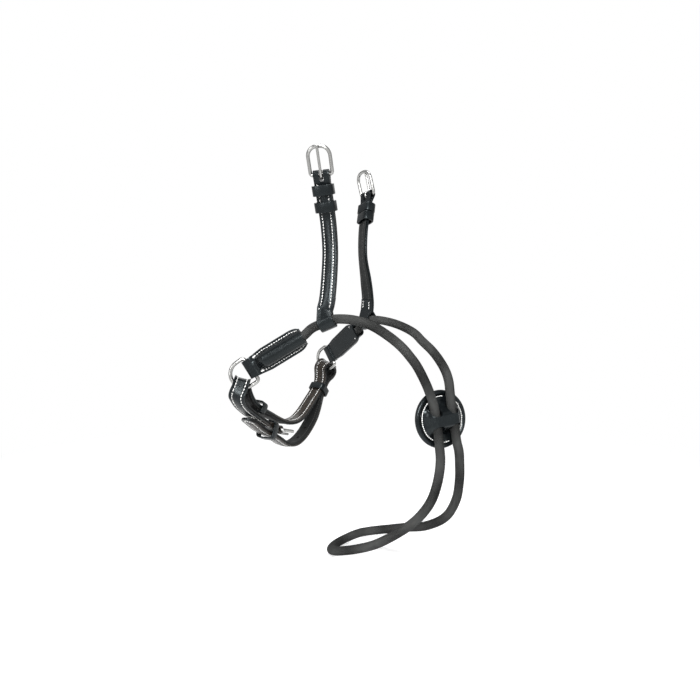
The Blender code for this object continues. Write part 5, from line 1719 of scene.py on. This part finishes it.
class LeatherSettings(bpy.types.PropertyGroup):
    colour: FloatVectorProperty(name="Colour", description="Colour of the outer leather", subtype="COLOR",
                                default=(0.0030, 0.0038, 0.0043), min=0.0, max=1.0)
    worn_colour: FloatVectorProperty(name="Worn Colour", description="Colour of leather browned by handling",
                                     subtype="COLOR", default=(0.030, 0.021, 0.015), min=0.0, max=1.0)
    lining_colour: FloatVectorProperty(name="Lining Colour", description="Colour of the straps' lining",
                                       subtype="COLOR", default=(0.0055, 0.0052, 0.0050), min=0.0, max=1.0)
    roughness: FloatProperty(name="Roughness", description="How matt the outer leather is", default=0.23,
                             min=0.0, max=1.0, subtype="FACTOR")


class ThreadSettings(bpy.types.PropertyGroup):
    pitch: FloatProperty(name="Stitch Length", description="Distance between needle holes", default=0.0030,
                         min=0.001, unit="LENGTH")
    thickness: FloatProperty(name="Thread Width", description="Width of the thread", default=0.00115,
                             min=0.0002, unit="LENGTH")
    colour: FloatVectorProperty(name="Colour", description="Colour of the thread", subtype="COLOR",
                                default=(0.86, 0.86, 0.84), min=0.0, max=1.0)


class HardwareSettings(bpy.types.PropertyGroup):
    colour: FloatVectorProperty(name="Colour", description="Colour of the polished steel", subtype="COLOR",
                                default=(0.40, 0.40, 0.39), min=0.0, max=1.0)
    roughness: FloatProperty(name="Roughness", description="How worn the polish is", default=0.16,
                             min=0.0, max=1.0, subtype="FACTOR")


class StageSettings(bpy.types.PropertyGroup):
    azimuth: FloatProperty(name="Azimuth", description="Turn of the camera round the noseband",
                           default=math.radians(27), subtype="ANGLE")
    elevation: FloatProperty(name="Elevation", description="Height of the camera as an angle",
                             default=math.radians(5), subtype="ANGLE")
    lens: FloatProperty(name="Lens", description="Focal length of the camera in millimetres", default=27.26)
    camera_place: FloatVectorProperty(name="Camera Place", description="Where the camera stands",
                                      default=(0.2605, -0.509, 0.019), subtype="TRANSLATION")
    backdrop: FloatProperty(name="Backdrop", description="Brightness of the white backdrop",
                            default=1.0, min=0.0)
    shading: FloatProperty(name="Panel Shading", default=0.62, min=0.0, max=1.0, subtype="FACTOR",
                           description="How much darker the panels are than the backdrop")
    fill: FloatProperty(name="Fill", description="Brightness of the light from all round",
                        default=0.04, min=0.0)
    light: FloatProperty(name="Key Light", description="Power of the key lamp", default=26.0, min=0.0)


class NOSEBAND_OT_rope(bpy.types.Operator):
    """Builds the woven rope"""

    bl_idname = "noseband.rope"
    bl_label = "Rope"

    def execute(self, context):
        make_rope()
        return {"FINISHED"}


class NOSEBAND_OT_end_tabs(bpy.types.Operator):
    """Builds both end tabs with their stitching"""

    bl_idname = "noseband.end_tabs"
    bl_label = "End Tabs"

    def execute(self, context):
        for name, side in SIDES.items():
            make_tab(name, side)
        return {"FINISHED"}


class NOSEBAND_OT_rings(bpy.types.Operator):
    """Builds both D-rings"""

    bl_idname = "noseband.rings"
    bl_label = "Rings"

    def execute(self, context):
        for name, side in SIDES.items():
            make_ring(name, side)
        return {"FINISHED"}


class NOSEBAND_OT_cheek_straps(bpy.types.Operator):
    """Builds both cheek straps with their keepers and crown buckles"""

    bl_idname = "noseband.cheek_straps"
    bl_label = "Cheek Straps"

    def execute(self, context):
        for name, side in SIDES.items():
            make_cheek(name, side)
        return {"FINISHED"}


class NOSEBAND_OT_nose_disc(bpy.types.Operator):
    """Builds the padded nose disc"""

    bl_idname = "noseband.nose_disc"
    bl_label = "Nose Disc"

    def execute(self, context):
        place = disc_frame()
        make_disc_cover(place)
        make_disc_rim(place)
        make_disc_pad(place)
        make_disc_stitches(place)
        return {"FINISHED"}


class NOSEBAND_OT_jaw_strap(bpy.types.Operator):
    """Builds the jaw strap with its buckle and keepers"""

    bl_idname = "noseband.jaw_strap"
    bl_label = "Jaw Strap"

    def execute(self, context):
        make_jaw_strap()
        return {"FINISHED"}


class NOSEBAND_OT_stage(bpy.types.Operator):
    """Builds the floor, backdrop, lamps and camera"""

    bl_idname = "noseband.stage"
    bl_label = "Stage"

    def execute(self, context):
        context.scene.view_settings.view_transform = "Standard"
        make_world()
        make_floor()
        make_lamps()
        make_camera()
        return {"FINISHED"}


class NOSEBAND_PT_panel(bpy.types.Panel):
    """Lists the noseband's settings and pieces"""

    bl_label = "Noseband"
    bl_space_type = "VIEW_3D"
    bl_region_type = "UI"
    bl_category = "Noseband"

    def draw(self, context):
        for group in SETTINGS:
            box = self.layout.box()
            for name in SETTINGS[group].__annotations__:
                box.prop(getattr(context.scene, group), name)
        for operator in OPERATORS:
            self.layout.operator(operator.bl_idname)


SETTINGS = {
    "noseband_rope": RopeSettings,
    "noseband_leather": LeatherSettings,
    "noseband_thread": ThreadSettings,
    "noseband_hardware": HardwareSettings,
    "noseband_stage": StageSettings,
}
OPERATORS = (
    NOSEBAND_OT_stage,
    NOSEBAND_OT_rope,
    NOSEBAND_OT_end_tabs,
    NOSEBAND_OT_rings,
    NOSEBAND_OT_cheek_straps,
    NOSEBAND_OT_nose_disc,
    NOSEBAND_OT_jaw_strap,
)


def register():
    for item in (*SETTINGS.values(), *OPERATORS, NOSEBAND_PT_panel):
        bpy.utils.register_class(item)
    for name, settings in SETTINGS.items():
        setattr(bpy.types.Scene, name, PointerProperty(type=settings))


def unregister():
    for name in SETTINGS:
        delattr(bpy.types.Scene, name)
    for item in (NOSEBAND_PT_panel, *reversed(OPERATORS), *SETTINGS.values()):
        bpy.utils.unregister_class(item)


def main():
    register()
    bpy.ops.noseband.stage()
    bpy.ops.noseband.rope()
    bpy.ops.noseband.end_tabs()
    bpy.ops.noseband.rings()
    bpy.ops.noseband.cheek_straps()
    bpy.ops.noseband.nose_disc()
    bpy.ops.noseband.jaw_strap()


if __name__ == "__main__":
    main()
